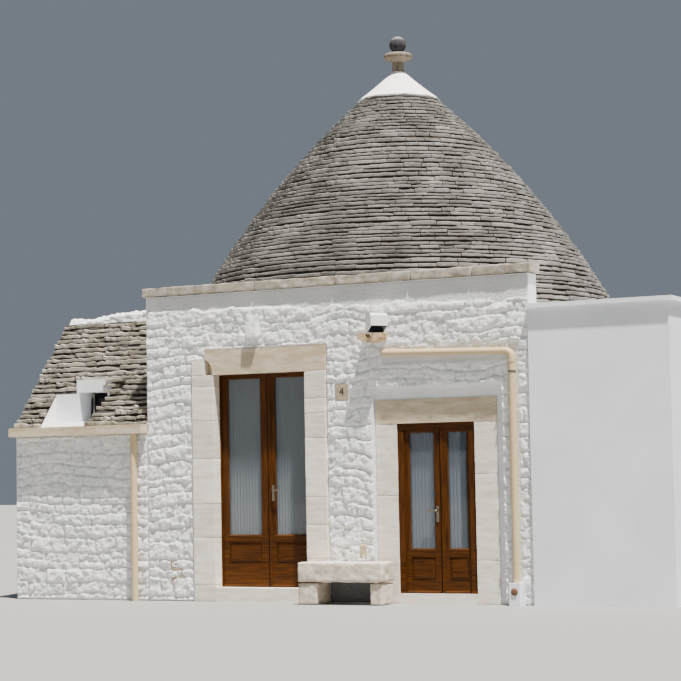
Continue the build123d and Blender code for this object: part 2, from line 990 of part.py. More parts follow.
# Spout, lamp and number tile
with BuildPart() as stone_spout:
    spout_outline(spout_reach + spout_bite)
    with BuildSketch(street_plane(front)):
        with Locations((along(spout_centre), spout_underside + spout_height)):
            Circle(spout_channel_radius)
    extrude(amount=spout_reach, mode=Mode.SUBTRACT)
keep(stone_spout, "stone_spout")

lamp_facing = Vector(math.sin(math.radians(lamp_turn)), -math.cos(math.radians(lamp_turn)), 0)
lamp_across = Vector(lamp_facing.Y, -lamp_facing.X, 0)
lamp_face = Vector(along(lamp_centre), front - lamp_stand_off, lamp_underside)
lamp_back = lamp_face - lamp_facing * lamp_depth
lamp_middle = lamp_underside + lamp_height / 2

with BuildPart() as lamp:
    with BuildSketch(Plane(lamp_back, x_dir=lamp_facing, z_dir=lamp_across)):
        with BuildLine():
            Polyline(
                (0, 0),
                (0, lamp_height),
                (lamp_depth - lamp_hood_slope, lamp_height),
                (lamp_depth, lamp_height - lamp_hood_drop),
                (lamp_depth, lamp_glass_top),
                (lamp_glass_start, 0),
                close=True,
            )
        make_face()
    extrude(amount=lamp_width / 2, both=True)
    with Locations(Plane((lamp_back.X, front, lamp_middle), z_dir=(0, -1, 0))):
        Box(
            lamp_plate_width, lamp_plate_width, lamp_plate_thickness,
            align=(Align.CENTER, Align.CENTER, Align.MIN),
        )
        Cylinder(
            lamp_arm_radius, front - lamp_back.Y + lamp_arm_radius,
            align=(Align.CENTER, Align.CENTER, Align.MIN),
        )
keep(lamp, "lamp")

with BuildPart() as number_tile:
    block(
        (along(tile_centre) - tile_width / 2, front - tile_thickness, tile_middle - tile_height / 2),
        (along(tile_centre) + tile_width / 2, front, tile_middle + tile_height / 2),
    )
keep(number_tile, "number_tile")


# Alcove
def niche_wall_outline(mode=Mode.ADD):
    """The plastered wall round the small window; over the window it rises through the slope."""
    wall_front = front + niche_depth
    block(
        (along(-niche_left), wall_front, alcove_roof_base),
        (along(-niche_right), wall_front + niche_wall, niche_wall_top),
        mode=mode,
    )
    block(
        (along(-dormer_left), wall_front, niche_wall_top),
        (along(-dormer_right), wall_front + niche_wall, dormer_top),
        mode=mode,
    )


def cut_window():
    """The small window, from the niche through to the room."""
    block(
        (along(-window_left), front + niche_depth, niche_floor),
        (along(-window_right), front + window_depth, window_head),
        mode=Mode.SUBTRACT,
    )


with BuildPart() as alcove_wall:
    with BuildSketch(Plane.YZ.offset(inner_left)):
        with BuildLine():
            Polyline(
                (front, 0),
                (inner_front, 0),
                (inner_front, roof_underside(inner_front)),
                (front - alcove_roof_start + alcove_roof_run, alcove_roof_base),
                (front + eave_bite, alcove_roof_base),
                (front + eave_bite, alcove_wall_top),
                (front, alcove_wall_top),
                close=True,
            )
        make_face()
    extrude(amount=front_left - inner_left)
    niche_wall_outline(mode=Mode.SUBTRACT)
    cut_window()
keep(alcove_wall, "alcove_wall")

with BuildPart() as eave_stone:
    block(
        (party_face, front - eave_reach, alcove_wall_top),
        (front_left, front + eave_bite, alcove_roof_base),
    )
    block(
        (
            party_face + eave_channel_stop,
            front - eave_reach + eave_channel_lip,
            alcove_roof_base - eave_channel_depth,
        ),
        (
            front_left - eave_channel_stop,
            front - eave_reach + eave_channel_lip + eave_channel_width,
            alcove_roof_base,
        ),
        mode=Mode.SUBTRACT,
    )
keep(eave_stone, "eave_stone")

with BuildPart() as alcove_roof:
    with BuildSketch(Plane.YZ.offset(party_face)):
        with BuildLine():
            Polyline(
                (front - alcove_roof_start, alcove_roof_base),
                (alcove_ridge_depth, alcove_ridge_height),
                (alcove_ridge_depth, roof_underside(alcove_ridge_depth)),
                (front - alcove_roof_start + alcove_roof_run, alcove_roof_base),
                close=True,
            )
        make_face()
    extrude(amount=alcove_width)
    cut_cone_foot()
    with BuildSketch(Plane.XZ.offset(-(front + niche_depth))):
        with BuildLine():
            Polyline(
                (along(-niche_left), niche_floor),
                (along(-niche_cheek_foot), niche_floor),
                (along(-niche_cheek_top), niche_wall_top),
                (along(-niche_left), niche_wall_top),
                close=True,
            )
        make_face()
    extrude(amount=niche_depth + eave_reach, mode=Mode.SUBTRACT)
    niche_wall_outline(mode=Mode.SUBTRACT)
    cut_window()
keep(alcove_roof, "alcove_roof")

with BuildPart() as alcove_ridge:
    with BuildSketch(street_plane(alcove_ridge_depth + ridge_width)):
        with BuildLine():
            Polyline(
                (party_face, terrace),
                (front_left, terrace),
                (front_left, alcove_ridge_height + ridge_high),
                (party_face, alcove_ridge_height + ridge_low),
                close=True,
            )
        make_face()
    extrude(amount=ridge_width)
    cut_cone_foot()
keep(alcove_ridge, "alcove_ridge")

with BuildPart() as alcove_window:
    niche_wall_outline()
    cut_window()
keep(alcove_window, "alcove_window")

# Annex
with BuildPart() as annex_front_wall:
    block((front_right, annex_front, 0), (annex_right, annex_front + annex_wall, annex_top - annex_slab))
keep(annex_front_wall, "annex_front_wall")

with BuildPart() as annex_right_wall:
    block(
        (annex_right - annex_wall, annex_front + annex_wall, 0),
        (annex_right, annex_back - annex_wall, annex_top - annex_slab),
    )
keep(annex_right_wall, "annex_right_wall")

with BuildPart() as annex_back_wall:
    block((front_right, annex_back - annex_wall, 0), (annex_right, annex_back, annex_top - annex_slab))
keep(annex_back_wall, "annex_back_wall")

with BuildPart() as annex_roof_slab:
    block((front_right, annex_front, annex_top - annex_slab), (annex_right, annex_back, annex_top))
    block(
        (front_right, annex_front - annex_eave, annex_top - annex_eave_thickness),
        (annex_right + annex_eave, annex_back, annex_top),
    )
keep(annex_roof_slab, "annex_roof_slab")
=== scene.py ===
# %% [markdown]
# A trullo house is a whitewashed block of rubble with a cone of dry-stone slabs on it. The packed
# model brings the masonry and the joinery at their real sizes. This notebook dresses them: it keeps
# each piece whose shape is right and gives it a finish, and it lays the stones, slabs and cloth that
# are too many or too soft for the model. Everything is in metres, with the origin on the ground on
# the axis of the cone, X to the right along the street and Y into the house.

# %% Load the model and note its box
import math
import random

import bpy
import numpy as np
from mathutils import Matrix, Vector


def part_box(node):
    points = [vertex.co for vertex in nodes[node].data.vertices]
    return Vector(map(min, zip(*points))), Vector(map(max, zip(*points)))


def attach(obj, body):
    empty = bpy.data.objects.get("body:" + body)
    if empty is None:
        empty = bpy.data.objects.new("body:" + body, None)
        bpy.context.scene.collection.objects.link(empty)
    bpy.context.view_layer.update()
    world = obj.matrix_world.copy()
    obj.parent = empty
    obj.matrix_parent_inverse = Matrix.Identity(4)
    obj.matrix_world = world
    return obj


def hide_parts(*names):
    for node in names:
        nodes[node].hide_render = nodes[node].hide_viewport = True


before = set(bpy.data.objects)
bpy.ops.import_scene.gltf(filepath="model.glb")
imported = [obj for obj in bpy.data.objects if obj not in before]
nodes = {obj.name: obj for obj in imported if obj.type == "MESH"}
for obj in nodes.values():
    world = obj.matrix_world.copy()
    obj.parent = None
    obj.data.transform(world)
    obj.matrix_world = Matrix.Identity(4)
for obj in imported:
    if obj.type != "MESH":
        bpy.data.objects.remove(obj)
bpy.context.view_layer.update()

# %% [markdown]
# The camera stands in the street, to the right of the house, with a long lens. Its place was
# worked out from the door posts, lintels and coping of the picture, so it is given by a position,
# three turns and a focal length in pixels of a picture 681 pixels wide. A camera that tracks an
# empty is quicker to set, but it stands level, and this one is rolled by one degree.

# %% Camera
picture_width = 681
focal_pixels = 2016
sensor = 36
far_limit = 500
camera_place = Vector((11.53, -24.67, 1.48))
camera_yaw = math.radians(26.85)
camera_pitch = math.radians(3.89)
camera_roll = math.radians(1.06)


def new_object(name, data):
    """A new object in the scene."""
    made = bpy.data.objects.new(name, data)
    bpy.context.collection.objects.link(made)
    return made


forward = Vector((
    -math.sin(camera_yaw) * math.cos(camera_pitch),
    math.cos(camera_yaw) * math.cos(camera_pitch),
    math.sin(camera_pitch),
))
level_right = Vector((math.cos(camera_yaw), math.sin(camera_yaw), 0))
level_up = level_right.cross(forward)
right = math.cos(camera_roll) * level_right - math.sin(camera_roll) * level_up
up = math.sin(camera_roll) * level_right + math.cos(camera_roll) * level_up

lens = bpy.data.cameras.new("street_camera")
lens.sensor_width = sensor
lens.lens = focal_pixels * sensor / picture_width
lens.clip_end = far_limit
camera = new_object("street_camera", lens)
camera_axes = Matrix((right, up, -forward)).transposed().to_4x4()
camera.matrix_world = Matrix.Translation(camera_place) @ camera_axes
bpy.context.scene.camera = camera
print("lens", round(lens.lens, 1), "mm")

# %% [markdown]
# Light in the picture comes from a high sun, a little to the right and in front of the house, so it
# rakes down the walls and picks out every stone. The shadow of a stub gives its side: 0.285 for
# each metre down. How far in front it stands is less sure. The shadow on the right lintel is 0.33
# to 0.36 m long under a ledge of 50 to 65 mm, which gives 0.14 to 0.20, and 0.19 is used. A studio
# version is one lamp from there, with a disc wide enough to soften the shadows, over a pale sky.

# %% Sun
sun_sideways = 0.285
sun_forward = 0.19
to_sun = Vector((sun_sideways, -sun_forward, 1)).normalized()
sun_disc = math.radians(2)

key = bpy.data.lights.new("key_light", "SUN")
key.energy = 13.5
key.angle = sun_disc
key.color = (1.0, 0.965, 0.91)
key_light = new_object("key_light", key)
key_light.rotation_euler = to_sun.to_track_quat("Z", "Y").to_euler()
print("sun", round(math.degrees(math.asin(to_sun.z)), 1), "degrees up")


# %% Sky
def hex_colour(code):
    """Linear red, green, blue and alpha of an sRGB colour such as #D8CDB8."""
    parts = [int(code[i:i + 2], 16) / 255 for i in (1, 3, 5)]
    return tuple(p / 12.92 if p <= 0.04045 else ((p + 0.055) / 1.055) ** 2.4 for p in parts) + (1,)


world = bpy.data.worlds.new("pale_sky")
world.use_nodes = True
sky = world.node_tree.nodes["Background"]
sky.inputs["Color"].default_value = hex_colour("#C9D6E6")
sky.inputs["Strength"].default_value = 0.3
bpy.context.scene.world = world
print("sky", [round(c, 3) for c in sky.inputs["Color"].default_value])


# %% [markdown]
# Every finish below is a small tree of nodes. One function adds a node, sets it and links it:
# a value given for a socket is written there, and an output given for it is linked. Patterns read
# object coordinates, which are metres here, so a scale of 1 over a size in metres gives that size.

# %% Node helper
def add(tree, kind, inputs=None, **settings):
    """Add one node with its settings, and give each named input a value or a link."""
    made = tree.nodes.new(kind)
    for name, value in settings.items():
        setattr(made, name, value)
    for socket, value in (inputs or {}).items():
        if isinstance(value, bpy.types.NodeSocket):
            tree.links.new(value, made.inputs[socket])
        else:
            made.inputs[socket].default_value = value
    return made


def new_material(name):
    """An empty material with its principled shader, and its tree."""
    material = bpy.data.materials.new(name)
    material.use_nodes = True
    return material, material.node_tree, material.node_tree.nodes["Principled BSDF"]


print("materials so far", len(bpy.data.materials))


# %% [markdown]
# Limewash, limestone and plaster are all mineral and matt: two close colours in patches, a stain in
# blotches, and a grain that only bump can show. One function makes them all, because they differ in colour
# and scale and not in kind. A piece made of many stones carries a number called tone on its points, which
# lightens or darkens each stone; on the rubble and the slabs it also carries painted shade and painted
# highlight. Pieces without it read 0 and stay as they are.

# %% Mineral finish
def mineral(
    name, light, dark, stain, patch, grain, relief, stained=0.35, roughness=0.92, toned=0.35, bedded=1,
):
    """A matt mineral finish; patch, grain and relief are metres, and bedded flattens the pattern."""
    material, tree, shader = new_material(name)
    place = add(tree, "ShaderNodeTexCoord").outputs["Object"]
    where = add(tree, "ShaderNodeMapping", {"Vector": place, "Scale": (1, 1, bedded)}).outputs[0]
    patches = add(tree, "ShaderNodeTexNoise", {"Vector": where, "Scale": 1 / patch, "Detail": 6})
    spread = add(tree, "ShaderNodeMapRange", {
        "Value": patches.outputs[0], "From Min": 0.36, "From Max": 0.64,
    })
    base = add(
        tree, "ShaderNodeMix", {0: spread.outputs[0], 6: hex_colour(dark), 7: hex_colour(light)},
        data_type="RGBA",
    )
    blotches = add(tree, "ShaderNodeTexNoise", {
        "Vector": where, "Scale": 2.6 / patch, "Detail": 8, "Roughness": 0.7,
    })
    amount = add(tree, "ShaderNodeMapRange", {
        "Value": blotches.outputs[0], "From Min": 0.5, "From Max": 0.72, "To Max": stained,
    })
    marked = add(
        tree, "ShaderNodeMix", {0: amount.outputs[0], 6: base.outputs[2], 7: hex_colour(stain)},
        data_type="RGBA",
    )
    tone = add(tree, "ShaderNodeAttribute", attribute_name="tone")
    value = add(
        tree, "ShaderNodeMath", {0: tone.outputs["Fac"], 1: toned, 2: 1.0}, operation="MULTIPLY_ADD",
    )
    final = add(tree, "ShaderNodeHueSaturation", {"Color": marked.outputs[2], "Value": value.outputs[0]})
    tree.links.new(final.outputs[0], shader.inputs["Base Color"])
    shader.inputs["Roughness"].default_value = roughness
    shader.inputs["Specular IOR Level"].default_value = 0.25
    fine = add(tree, "ShaderNodeTexNoise", {
        "Vector": where, "Scale": 1 / grain, "Detail": 7, "Roughness": 0.65,
    })
    bump = add(tree, "ShaderNodeBump", {"Height": fine.outputs[0], "Strength": 0.8, "Distance": relief})
    tree.links.new(bump.outputs[0], shader.inputs["Normal"])
    return material


# Coats of limewash brushed on rubble: nearly white; the rubble's tone greys it in the hollows, which is
# painted shade with some dirt.
limewash = mineral(
    "limewash_on_rubble", "#F8F8F9", "#ECEDEF", "#D6D6D6", patch=0.4, grain=0.03, relief=0.024,
    stained=0.4, toned=0.6,
)
# Limewash on trowelled plaster: nearly the same white with hardly any grain; its greyer, bluer cast is
# painted shade of sky light on walls that the sun only grazes.
smooth_lime = mineral(
    "limewash_on_plaster", "#EBEEF3", "#E0E3E9", "#D2D5DB", patch=0.9, grain=0.02, relief=0.0015,
    stained=0.25,
)
# The cap is the whitest thing on the house, as fresh limewash is.
fresh_lime = mineral(
    "fresh_limewash", "#FEFDFA", "#FBF9F5", "#F3EFE8", patch=0.4, grain=0.03, relief=0.003, stained=0.2,
)
print("limewashes", limewash.name, smooth_lime.name, fresh_lime.name)

# %% [markdown]
# All the stone is taken to be limestone, and how it was dressed and where it stands changes its
# colour. The posts are beige with fine level bands, from the beds of the quarry. What the rain
# reaches turns grey and ochre, and a split face is rougher than a sawn one. So each use gets a
# finish of its own from the function above, with its grain and its relief in metres.

# %% Stones
# Sawn limestone, beige with fine level bands.
limestone = mineral(
    "sawn_limestone", "#F0EAE0", "#E0D5C6", "#C6B298", patch=0.3, grain=0.03, relief=0.004,
    stained=0.5, toned=0.6, bedded=5,
)
# The lintels and the eave are yellower than the posts.
lintel_stone = mineral(
    "yellow_limestone", "#D2C4AE", "#BAA98D", "#9A8363", patch=0.3, grain=0.03, relief=0.004,
    stained=0.6, toned=0.5, bedded=4,
)
# The bench is pitted and greyer.
bench_stone = mineral(
    "pitted_limestone", "#E2D6C6", "#C9BBA9", "#9C8D7C", patch=0.14, grain=0.022, relief=0.012,
    stained=0.7,
)
# The roof of the room can't be seen in the picture, so it is taken to be plain paving.
paving = mineral(
    "limestone_paving", "#C9C1B1", "#B7AE9C", "#A0967F", patch=0.9, grain=0.03, relief=0.004,
    stained=0.25,
)
# The number tile is brown.
tile_stone = mineral(
    "brown_limestone", "#B3A48D", "#998A74", "#7F705B", patch=0.08, grain=0.012, relief=0.003,
)
# The carved spout is ochre.
spout_stone = mineral(
    "ochre_limestone", "#CFB791", "#AE9470", "#86704F", patch=0.12, grain=0.02, relief=0.006,
    stained=0.5,
)
# Limestone of the coping: grey and ochre, with dark stains.
weathered = mineral(
    "weathered_limestone", "#B7AEA2", "#948B7C", "#6C6356", patch=0.12, grain=0.02, relief=0.008,
    stained=0.6,
)
# Split slabs of the cone: grey-beige faces with some ochre.
slab_stone = mineral(
    "split_grey_limestone", "#8C8985", "#6D6A66", "#6E5F4E", patch=0.4, grain=0.026, relief=0.014,
    stained=0.35, toned=1.0,
)
# Slabs of the alcove: warmer than those of the cone.
warm_slab = mineral(
    "split_warm_limestone", "#A09A90", "#7E786E", "#776650", patch=0.25, grain=0.026, relief=0.016,
    stained=0.45, toned=1.0,
)
# Earth behind the slabs, made dark as painted shade for the gaps between them.
shade_stone = mineral(
    "shaded_core", "#4A443B", "#39342D", "#2B2722", patch=0.2, grain=0.03, relief=0.01,
)
print("mineral finishes", len(bpy.data.materials))


# %% [markdown]
# The joinery is brown wood, taken to be pine, under a satin varnish. Grain runs along each board,
# so the rails of a leaf need it across and the stiles need it upright. Every board could be a piece
# of its own with a material of its own. Here a leaf is one piece, so its wood carries two grains,
# and a mask built from the heights of the rails chooses between them.

# %% Varnished wood
def varnished_wood(name, rails):
    """Stained wood with upright grain, and level grain between each pair of heights in rails."""
    material, tree, shader = new_material(name)
    where = add(tree, "ShaderNodeTexCoord").outputs["Object"]
    lines_across, lines_along = 90, 4
    upright = add(tree, "ShaderNodeMapping", {
        "Vector": where, "Scale": (lines_across, lines_across, lines_along),
    })
    level = add(tree, "ShaderNodeMapping", {
        "Vector": where, "Scale": (lines_along, lines_across, lines_across),
    })
    grains = [
        add(tree, "ShaderNodeTexNoise", {
            "Vector": way.outputs[0], "Scale": 1, "Detail": 6, "Distortion": 0.4,
        })
        for way in (upright, level)
    ]
    height = add(tree, "ShaderNodeSeparateXYZ", {0: where}).outputs["Z"]
    mask = 0.0
    for low, high in rails:
        inside_rail = add(
            tree, "ShaderNodeMath", {0: height, 1: (low + high) / 2, 2: (high - low) / 2},
            operation="COMPARE",
        )
        mask = add(
            tree, "ShaderNodeMath", {0: inside_rail.outputs[0], 1: mask}, operation="MAXIMUM",
        ).outputs[0]
    grain = add(tree, "ShaderNodeMix", {0: mask, 2: grains[0].outputs[0], 3: grains[1].outputs[0]})
    figure = add(tree, "ShaderNodeMapRange", {
        "Value": grain.outputs[0], "From Min": 0.3, "From Max": 0.7,
    })
    colour = add(
        tree, "ShaderNodeMix", {0: figure.outputs[0], 6: hex_colour("#261201"), 7: hex_colour("#583004")},
        data_type="RGBA",
    )
    tree.links.new(colour.outputs[2], shader.inputs["Base Color"])
    shader.inputs["Roughness"].default_value = 0.5
    shader.inputs["Specular IOR Level"].default_value = 0.15
    bump = add(tree, "ShaderNodeBump", {"Height": grain.outputs[0], "Strength": 0.25, "Distance": 0.001})
    tree.links.new(bump.outputs[0], shader.inputs["Normal"])
    return material


# Heights between which the grain runs level: each door's panelled foot, then its top rail.
left_rails = ((0.178, 0.805), (2.707, 2.9))
right_rails = ((0.126, 0.638), (1.985, 2.2))
left_wood = varnished_wood("varnished_pine_tall_door", left_rails)
right_wood = varnished_wood("varnished_pine_low_door", right_rails)
print("wood", left_wood.name, right_wood.name)


# %% [markdown]
# The rest of the small things are paint, enamel and metal. None of them is new: their colour varies
# by up to an eighth and their gloss by up to a fifth, in marks of about 3 cm, which keeps a plain
# colour from looking like plastic.

# %% Paint and metal
def lightly_worn(name, colour, roughness, metallic=0.0, wear=0.12, cell=0.03):
    """A painted, metal or glazed finish with slight wear in its colour and its gloss."""
    material, tree, shader = new_material(name)
    where = add(tree, "ShaderNodeTexCoord").outputs["Object"]
    marks = add(tree, "ShaderNodeTexNoise", {"Vector": where, "Scale": 1 / cell, "Detail": 6})
    value = add(tree, "ShaderNodeMapRange", {
        "Value": marks.outputs[0], "To Min": 1 - wear, "To Max": 1 + wear,
    })
    worn = add(tree, "ShaderNodeHueSaturation", {"Color": hex_colour(colour), "Value": value.outputs[0]})
    tree.links.new(worn.outputs[0], shader.inputs["Base Color"])
    gloss = add(tree, "ShaderNodeMapRange", {
        "Value": marks.outputs[0], "To Min": roughness * 0.8, "To Max": min(1, roughness * 1.2),
    })
    tree.links.new(gloss.outputs[0], shader.inputs["Roughness"])
    shader.inputs["Metallic"].default_value = metallic
    return material


# The rainwater pipes are painted cream, with a soft sheen along their length.
cream_paint = lightly_worn("cream_paint_on_pipe", "#C9B38A", 0.5)
# The lever handles are a greyish yellow metal, taken to be brass gone dull.
aged_brass = lightly_worn("aged_brass", "#8A8172", 0.35, metallic=1.0)
# The clip and the window's bar are taken to be zinc-coated steel: grey, with a broad dull shine.
dull_zinc = lightly_worn("galvanised_steel", "#7D7A72", 0.5, metallic=1.0)
# The lamp's hood is smooth and white, and its glass is nearly black.
white_enamel = lightly_worn("white_powder_coat", "#E6E7E8", 0.45, wear=0.05)
dark_glass = lightly_worn("dark_lamp_glass", "#10151F", 0.1, wear=0.05)
# The numeral is painted, black and half matt.
black_enamel = lightly_worn("black_numeral_paint", "#22201E", 0.5)
# The plug on the foot of the pipe is a dull brown.
brown_plug = lightly_worn("dull_brown_plug", "#6B4A33", 0.7)
print("paints and metals done")

# %% [markdown]
# Window glass in front of a curtain is thin. A real pane bends light twice and costs many bounces, so here
# it is a dark shine that lets most of what is behind it through, which also lets the sun reach the cloth.
# Its grey-blue colour is a painted reflection of the sky. The cloth is a sheer cotton: the weave is 1 mm,
# too fine to show, so it is drawn at 4 mm. The tall door's cotton is grey and the low door's is bluer.

# %% Glass and cloth
pane_glass, tree, shader = new_material("window_glass")
# The pane's grey-blue base colour is a painted reflection of the sky.
shader.inputs["Base Color"].default_value = hex_colour("#5A646C")
shader.inputs["Roughness"].default_value = 0.03
shader.inputs["Alpha"].default_value = 0.42
drawn_weave = 0.004


def sheer_cotton(name, dark, light):
    """Thin cotton with a faint weave between two close colours."""
    material, tree, shader = new_material(name)
    where = add(tree, "ShaderNodeTexCoord").outputs["Object"]
    weave = add(tree, "ShaderNodeTexNoise", {"Vector": where, "Scale": 1 / drawn_weave, "Detail": 2})
    thread = add(
        tree, "ShaderNodeMix", {0: weave.outputs[0], 6: hex_colour(dark), 7: hex_colour(light)},
        data_type="RGBA",
    )
    tree.links.new(thread.outputs[2], shader.inputs["Base Color"])
    shader.inputs["Roughness"].default_value = 0.95
    bump = add(tree, "ShaderNodeBump", {"Height": weave.outputs[0], "Strength": 0.3, "Distance": 0.001})
    tree.links.new(bump.outputs[0], shader.inputs["Normal"])
    return material


grey_cotton = sheer_cotton("sheer_grey_cotton", "#CACED0", "#E6E8E9")
blue_cotton = sheer_cotton("sheer_blue_cotton", "#B2B8C8", "#CCD0DC")
print("glass and cloth done")

# %% [markdown]
# Pieces of the model whose shape is right keep it and only change their finish. The alcove's roof is one
# slab: its slope lies in shade under loose slabs and is coloured nearly black as painted shade, while the
# cheeks and the floor of its window well are limewashed. It could be painted face by face, but a piece of
# the model is never changed, so the finish itself chooses, by which way each face looks and by where it
# lies.

# %% Finish of the alcove's roof
wall_low, wall_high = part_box("front_wall_top")
front, front_left, front_right = wall_low.y, wall_low.x, wall_high.x
well_floor = 2.265
well_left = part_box("alcove_window")[0].x
cheek_foot = front_left - 0.91
well_middle, well_half = (well_left + cheek_foot) / 2, (cheek_foot - well_left) / 2

slope_and_cheeks, tree, shader = new_material("painted_shade_slope_with_limed_cheeks")
where = add(tree, "ShaderNodeTexCoord")
rise = add(tree, "ShaderNodeSeparateXYZ", {0: where.outputs["Normal"]}).outputs["Z"]
place = add(tree, "ShaderNodeSeparateXYZ", {0: where.outputs["Object"]})
on_slope = add(tree, "ShaderNodeMath", {0: rise, 1: 0.35}, operation="GREATER_THAN")
low = add(tree, "ShaderNodeMath", {0: place.outputs["Z"], 1: well_floor}, operation="LESS_THAN")
in_well = add(
    tree, "ShaderNodeMath", {0: place.outputs["X"], 1: well_middle, 2: well_half}, operation="COMPARE",
)
limed = add(tree, "ShaderNodeMath", {0: low.outputs[0], 1: in_well.outputs[0]}, operation="MULTIPLY")
outside_limed_well = add(tree, "ShaderNodeMath", {0: 1.0, 1: limed.outputs[0]}, operation="SUBTRACT")
in_shade = add(tree, "ShaderNodeMath", {0: on_slope.outputs[0], 1: outside_limed_well.outputs[0]}, operation="MULTIPLY")
# The slope under the loose slabs gets a near black, a painted shade; the cheeks and the floor of the well
# get the lime.
lime_or_painted_shade = add(
    tree, "ShaderNodeMix", {0: in_shade.outputs[0], 6: hex_colour("#EDECE9"), 7: hex_colour("#2E2A25")},
    data_type="RGBA",
)
tree.links.new(lime_or_painted_shade.outputs[2], shader.inputs["Base Color"])
shader.inputs["Roughness"].default_value = 0.95
coat_grain = 0.05
coat = add(tree, "ShaderNodeTexNoise", {
    "Vector": where.outputs["Object"], "Scale": 1 / coat_grain, "Detail": 6,
})
coat_bump = add(tree, "ShaderNodeBump", {"Height": coat.outputs[0], "Strength": 0.6, "Distance": 0.006})
tree.links.new(coat_bump.outputs[0], shader.inputs["Normal"])
print("window well from", round(well_left, 3), "to", round(cheek_foot, 3))

# %% [markdown]
# The pinnacle has stood in the rain for a long time. Its ball is nearly black in streaks that run down it,
# and the dish and the neck that carry it are grey-brown. What looks up is painted pale, a painted highlight.
# One finish gives all three: a streaked noise, a height above which the ball begins, and the direction of
# the face.

# %% Finish of the pinnacle
ball_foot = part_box("pinnacle")[1].z - 0.225
turned_stone, tree, shader = new_material("weathered_pinnacle_stone")
where = add(tree, "ShaderNodeTexCoord")
level = add(tree, "ShaderNodeSeparateXYZ", {0: where.outputs["Object"]}).outputs["Z"]
upward = add(tree, "ShaderNodeSeparateXYZ", {0: where.outputs["Normal"]}).outputs["Z"]
streaks = add(tree, "ShaderNodeMapping", {"Vector": where.outputs["Object"], "Scale": (32, 32, 5)})
streak = add(tree, "ShaderNodeTexNoise", {"Vector": streaks.outputs[0], "Scale": 1, "Detail": 5})
black = add(tree, "ShaderNodeMapRange", {"Value": streak.outputs[0], "From Min": 0.35, "From Max": 0.65})
ball_colour, dish_colour = [
    add(
        tree, "ShaderNodeMix", {0: black.outputs[0], 6: hex_colour(dark), 7: hex_colour(light)},
        data_type="RGBA",
    )
    for dark, light in (("#18161B", "#403C40"), ("#574F47", "#827462"))
]
on_ball = add(tree, "ShaderNodeMath", {0: level, 1: ball_foot}, operation="GREATER_THAN")
side_colour = add(
    tree, "ShaderNodeMix", {0: on_ball.outputs[0], 6: dish_colour.outputs[2], 7: ball_colour.outputs[2]},
    data_type="RGBA",
)
# Faces that look up are painted pale: a painted highlight.
top_highlight = add(tree, "ShaderNodeMapRange", {"Value": upward, "From Min": 0.45, "From Max": 0.9})
highlighted_top_colour = add(
    tree, "ShaderNodeMix", {0: top_highlight.outputs[0], 6: side_colour.outputs[2], 7: hex_colour("#8E8D88")},
    data_type="RGBA",
)
tree.links.new(highlighted_top_colour.outputs[2], shader.inputs["Base Color"])
shader.inputs["Roughness"].default_value = 0.95
stone_bump = add(tree, "ShaderNodeBump", {"Height": streak.outputs[0], "Strength": 0.7, "Distance": 0.01})
tree.links.new(stone_bump.outputs[0], shader.inputs["Normal"])
print("ball begins at", round(ball_foot, 3))

# %% [markdown]
# With every finish made, each node of the model takes one by its name. Most of the masonry is
# limewashed rubble, so that is what a node gets when the table doesn't name it.

# %% Finishes of the kept pieces
finish_of = {
    "alcove_roof": slope_and_cheeks, "alcove_window": smooth_lime, "cone_cap": fresh_lime,
    "pinnacle": turned_stone, "terrace_slab": paving, "drain_pipes": cream_paint,
    "pipe_clip": dull_zinc, "lamp": white_enamel, "stone_spout": spout_stone, "number_tile": tile_stone,
    "eave_stone": lintel_stone, "door_thresholds": limestone, "left_door_lintel": lintel_stone,
    "right_door_lintel": lintel_stone, "floor_slab": limestone, "pipe_foot": smooth_lime,
}
for name, node in nodes.items():
    if name.startswith("annex"):
        finish = smooth_lime
    elif "glass" in name:
        finish = pane_glass
    elif "handle" in name:
        finish = aged_brass
    elif "leaf" in name or name.endswith("_frame"):
        finish = left_wood if name.startswith("left") else right_wood
    else:
        finish = finish_of.get(name, limewash)
    for slot in node.material_slots:
        slot.material = finish
print("finished", len(nodes), "nodes")


# %% [markdown]
# Stones are laid by number. A value noise is a grid of seeded random numbers with smooth steps
# between them; it is all that most of the stones below need to be uneven, and it gives the same
# house on every run. A Displace modifier could do much of this with a texture, but here the stones
# also have to stop at the edges of doors and tiles.

# %% Value noise
def value_noise(u, v, cell, seed):
    """Smooth noise from -1 to 1 over arrays of places; cell is the size of its bumps."""
    table = np.random.default_rng(seed).uniform(-1, 1, (256, 256))
    a, b = u / cell, v / cell
    i, j = np.floor(a).astype(int), np.floor(b).astype(int)
    s, t = a - i, b - j
    s, t = s * s * (3 - 2 * s), t * t * (3 - 2 * t)
    i, j = i % 255, j % 255
    low = table[i, j] * (1 - s) + table[i + 1, j] * s
    high = table[i, j + 1] * (1 - s) + table[i + 1, j + 1] * s
    return low * (1 - t) + high * t


sample = value_noise(*np.meshgrid(np.linspace(0, 1, 9), np.linspace(0, 1, 9)), cell=0.1, seed=1)
print("noise from", round(float(sample.min()), 2), "to", round(float(sample.max()), 2))


# %% Mesh helpers
def grid_faces(index):
    """The four corners of each cell in a grid of point numbers."""
    return np.stack((index[:-1, :-1], index[1:, :-1], index[1:, 1:], index[:-1, 1:]), -1)


def lay_piece(name, points, faces, material, body="house", instead_of=(), smooth=True, tones=None):
    """Make one mesh piece in the frame, with its finish and the body that it rides on."""
    mesh = bpy.data.meshes.new(name)
    mesh.from_pydata([tuple(p) for p in points], [], faces)
    mesh.materials.append(material)
    mesh.polygons.foreach_set("use_smooth", [smooth] * len(mesh.polygons))
    if tones is not None:
        tone = mesh.attributes.new("tone", "FLOAT", "POINT")
        tone.data.foreach_set("value", list(tones))
    mesh.update()
    piece = new_object(name, mesh)
    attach(piece, body)
    if instead_of:
        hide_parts(*instead_of)
    print(name, len(mesh.polygons), "faces")
    return piece


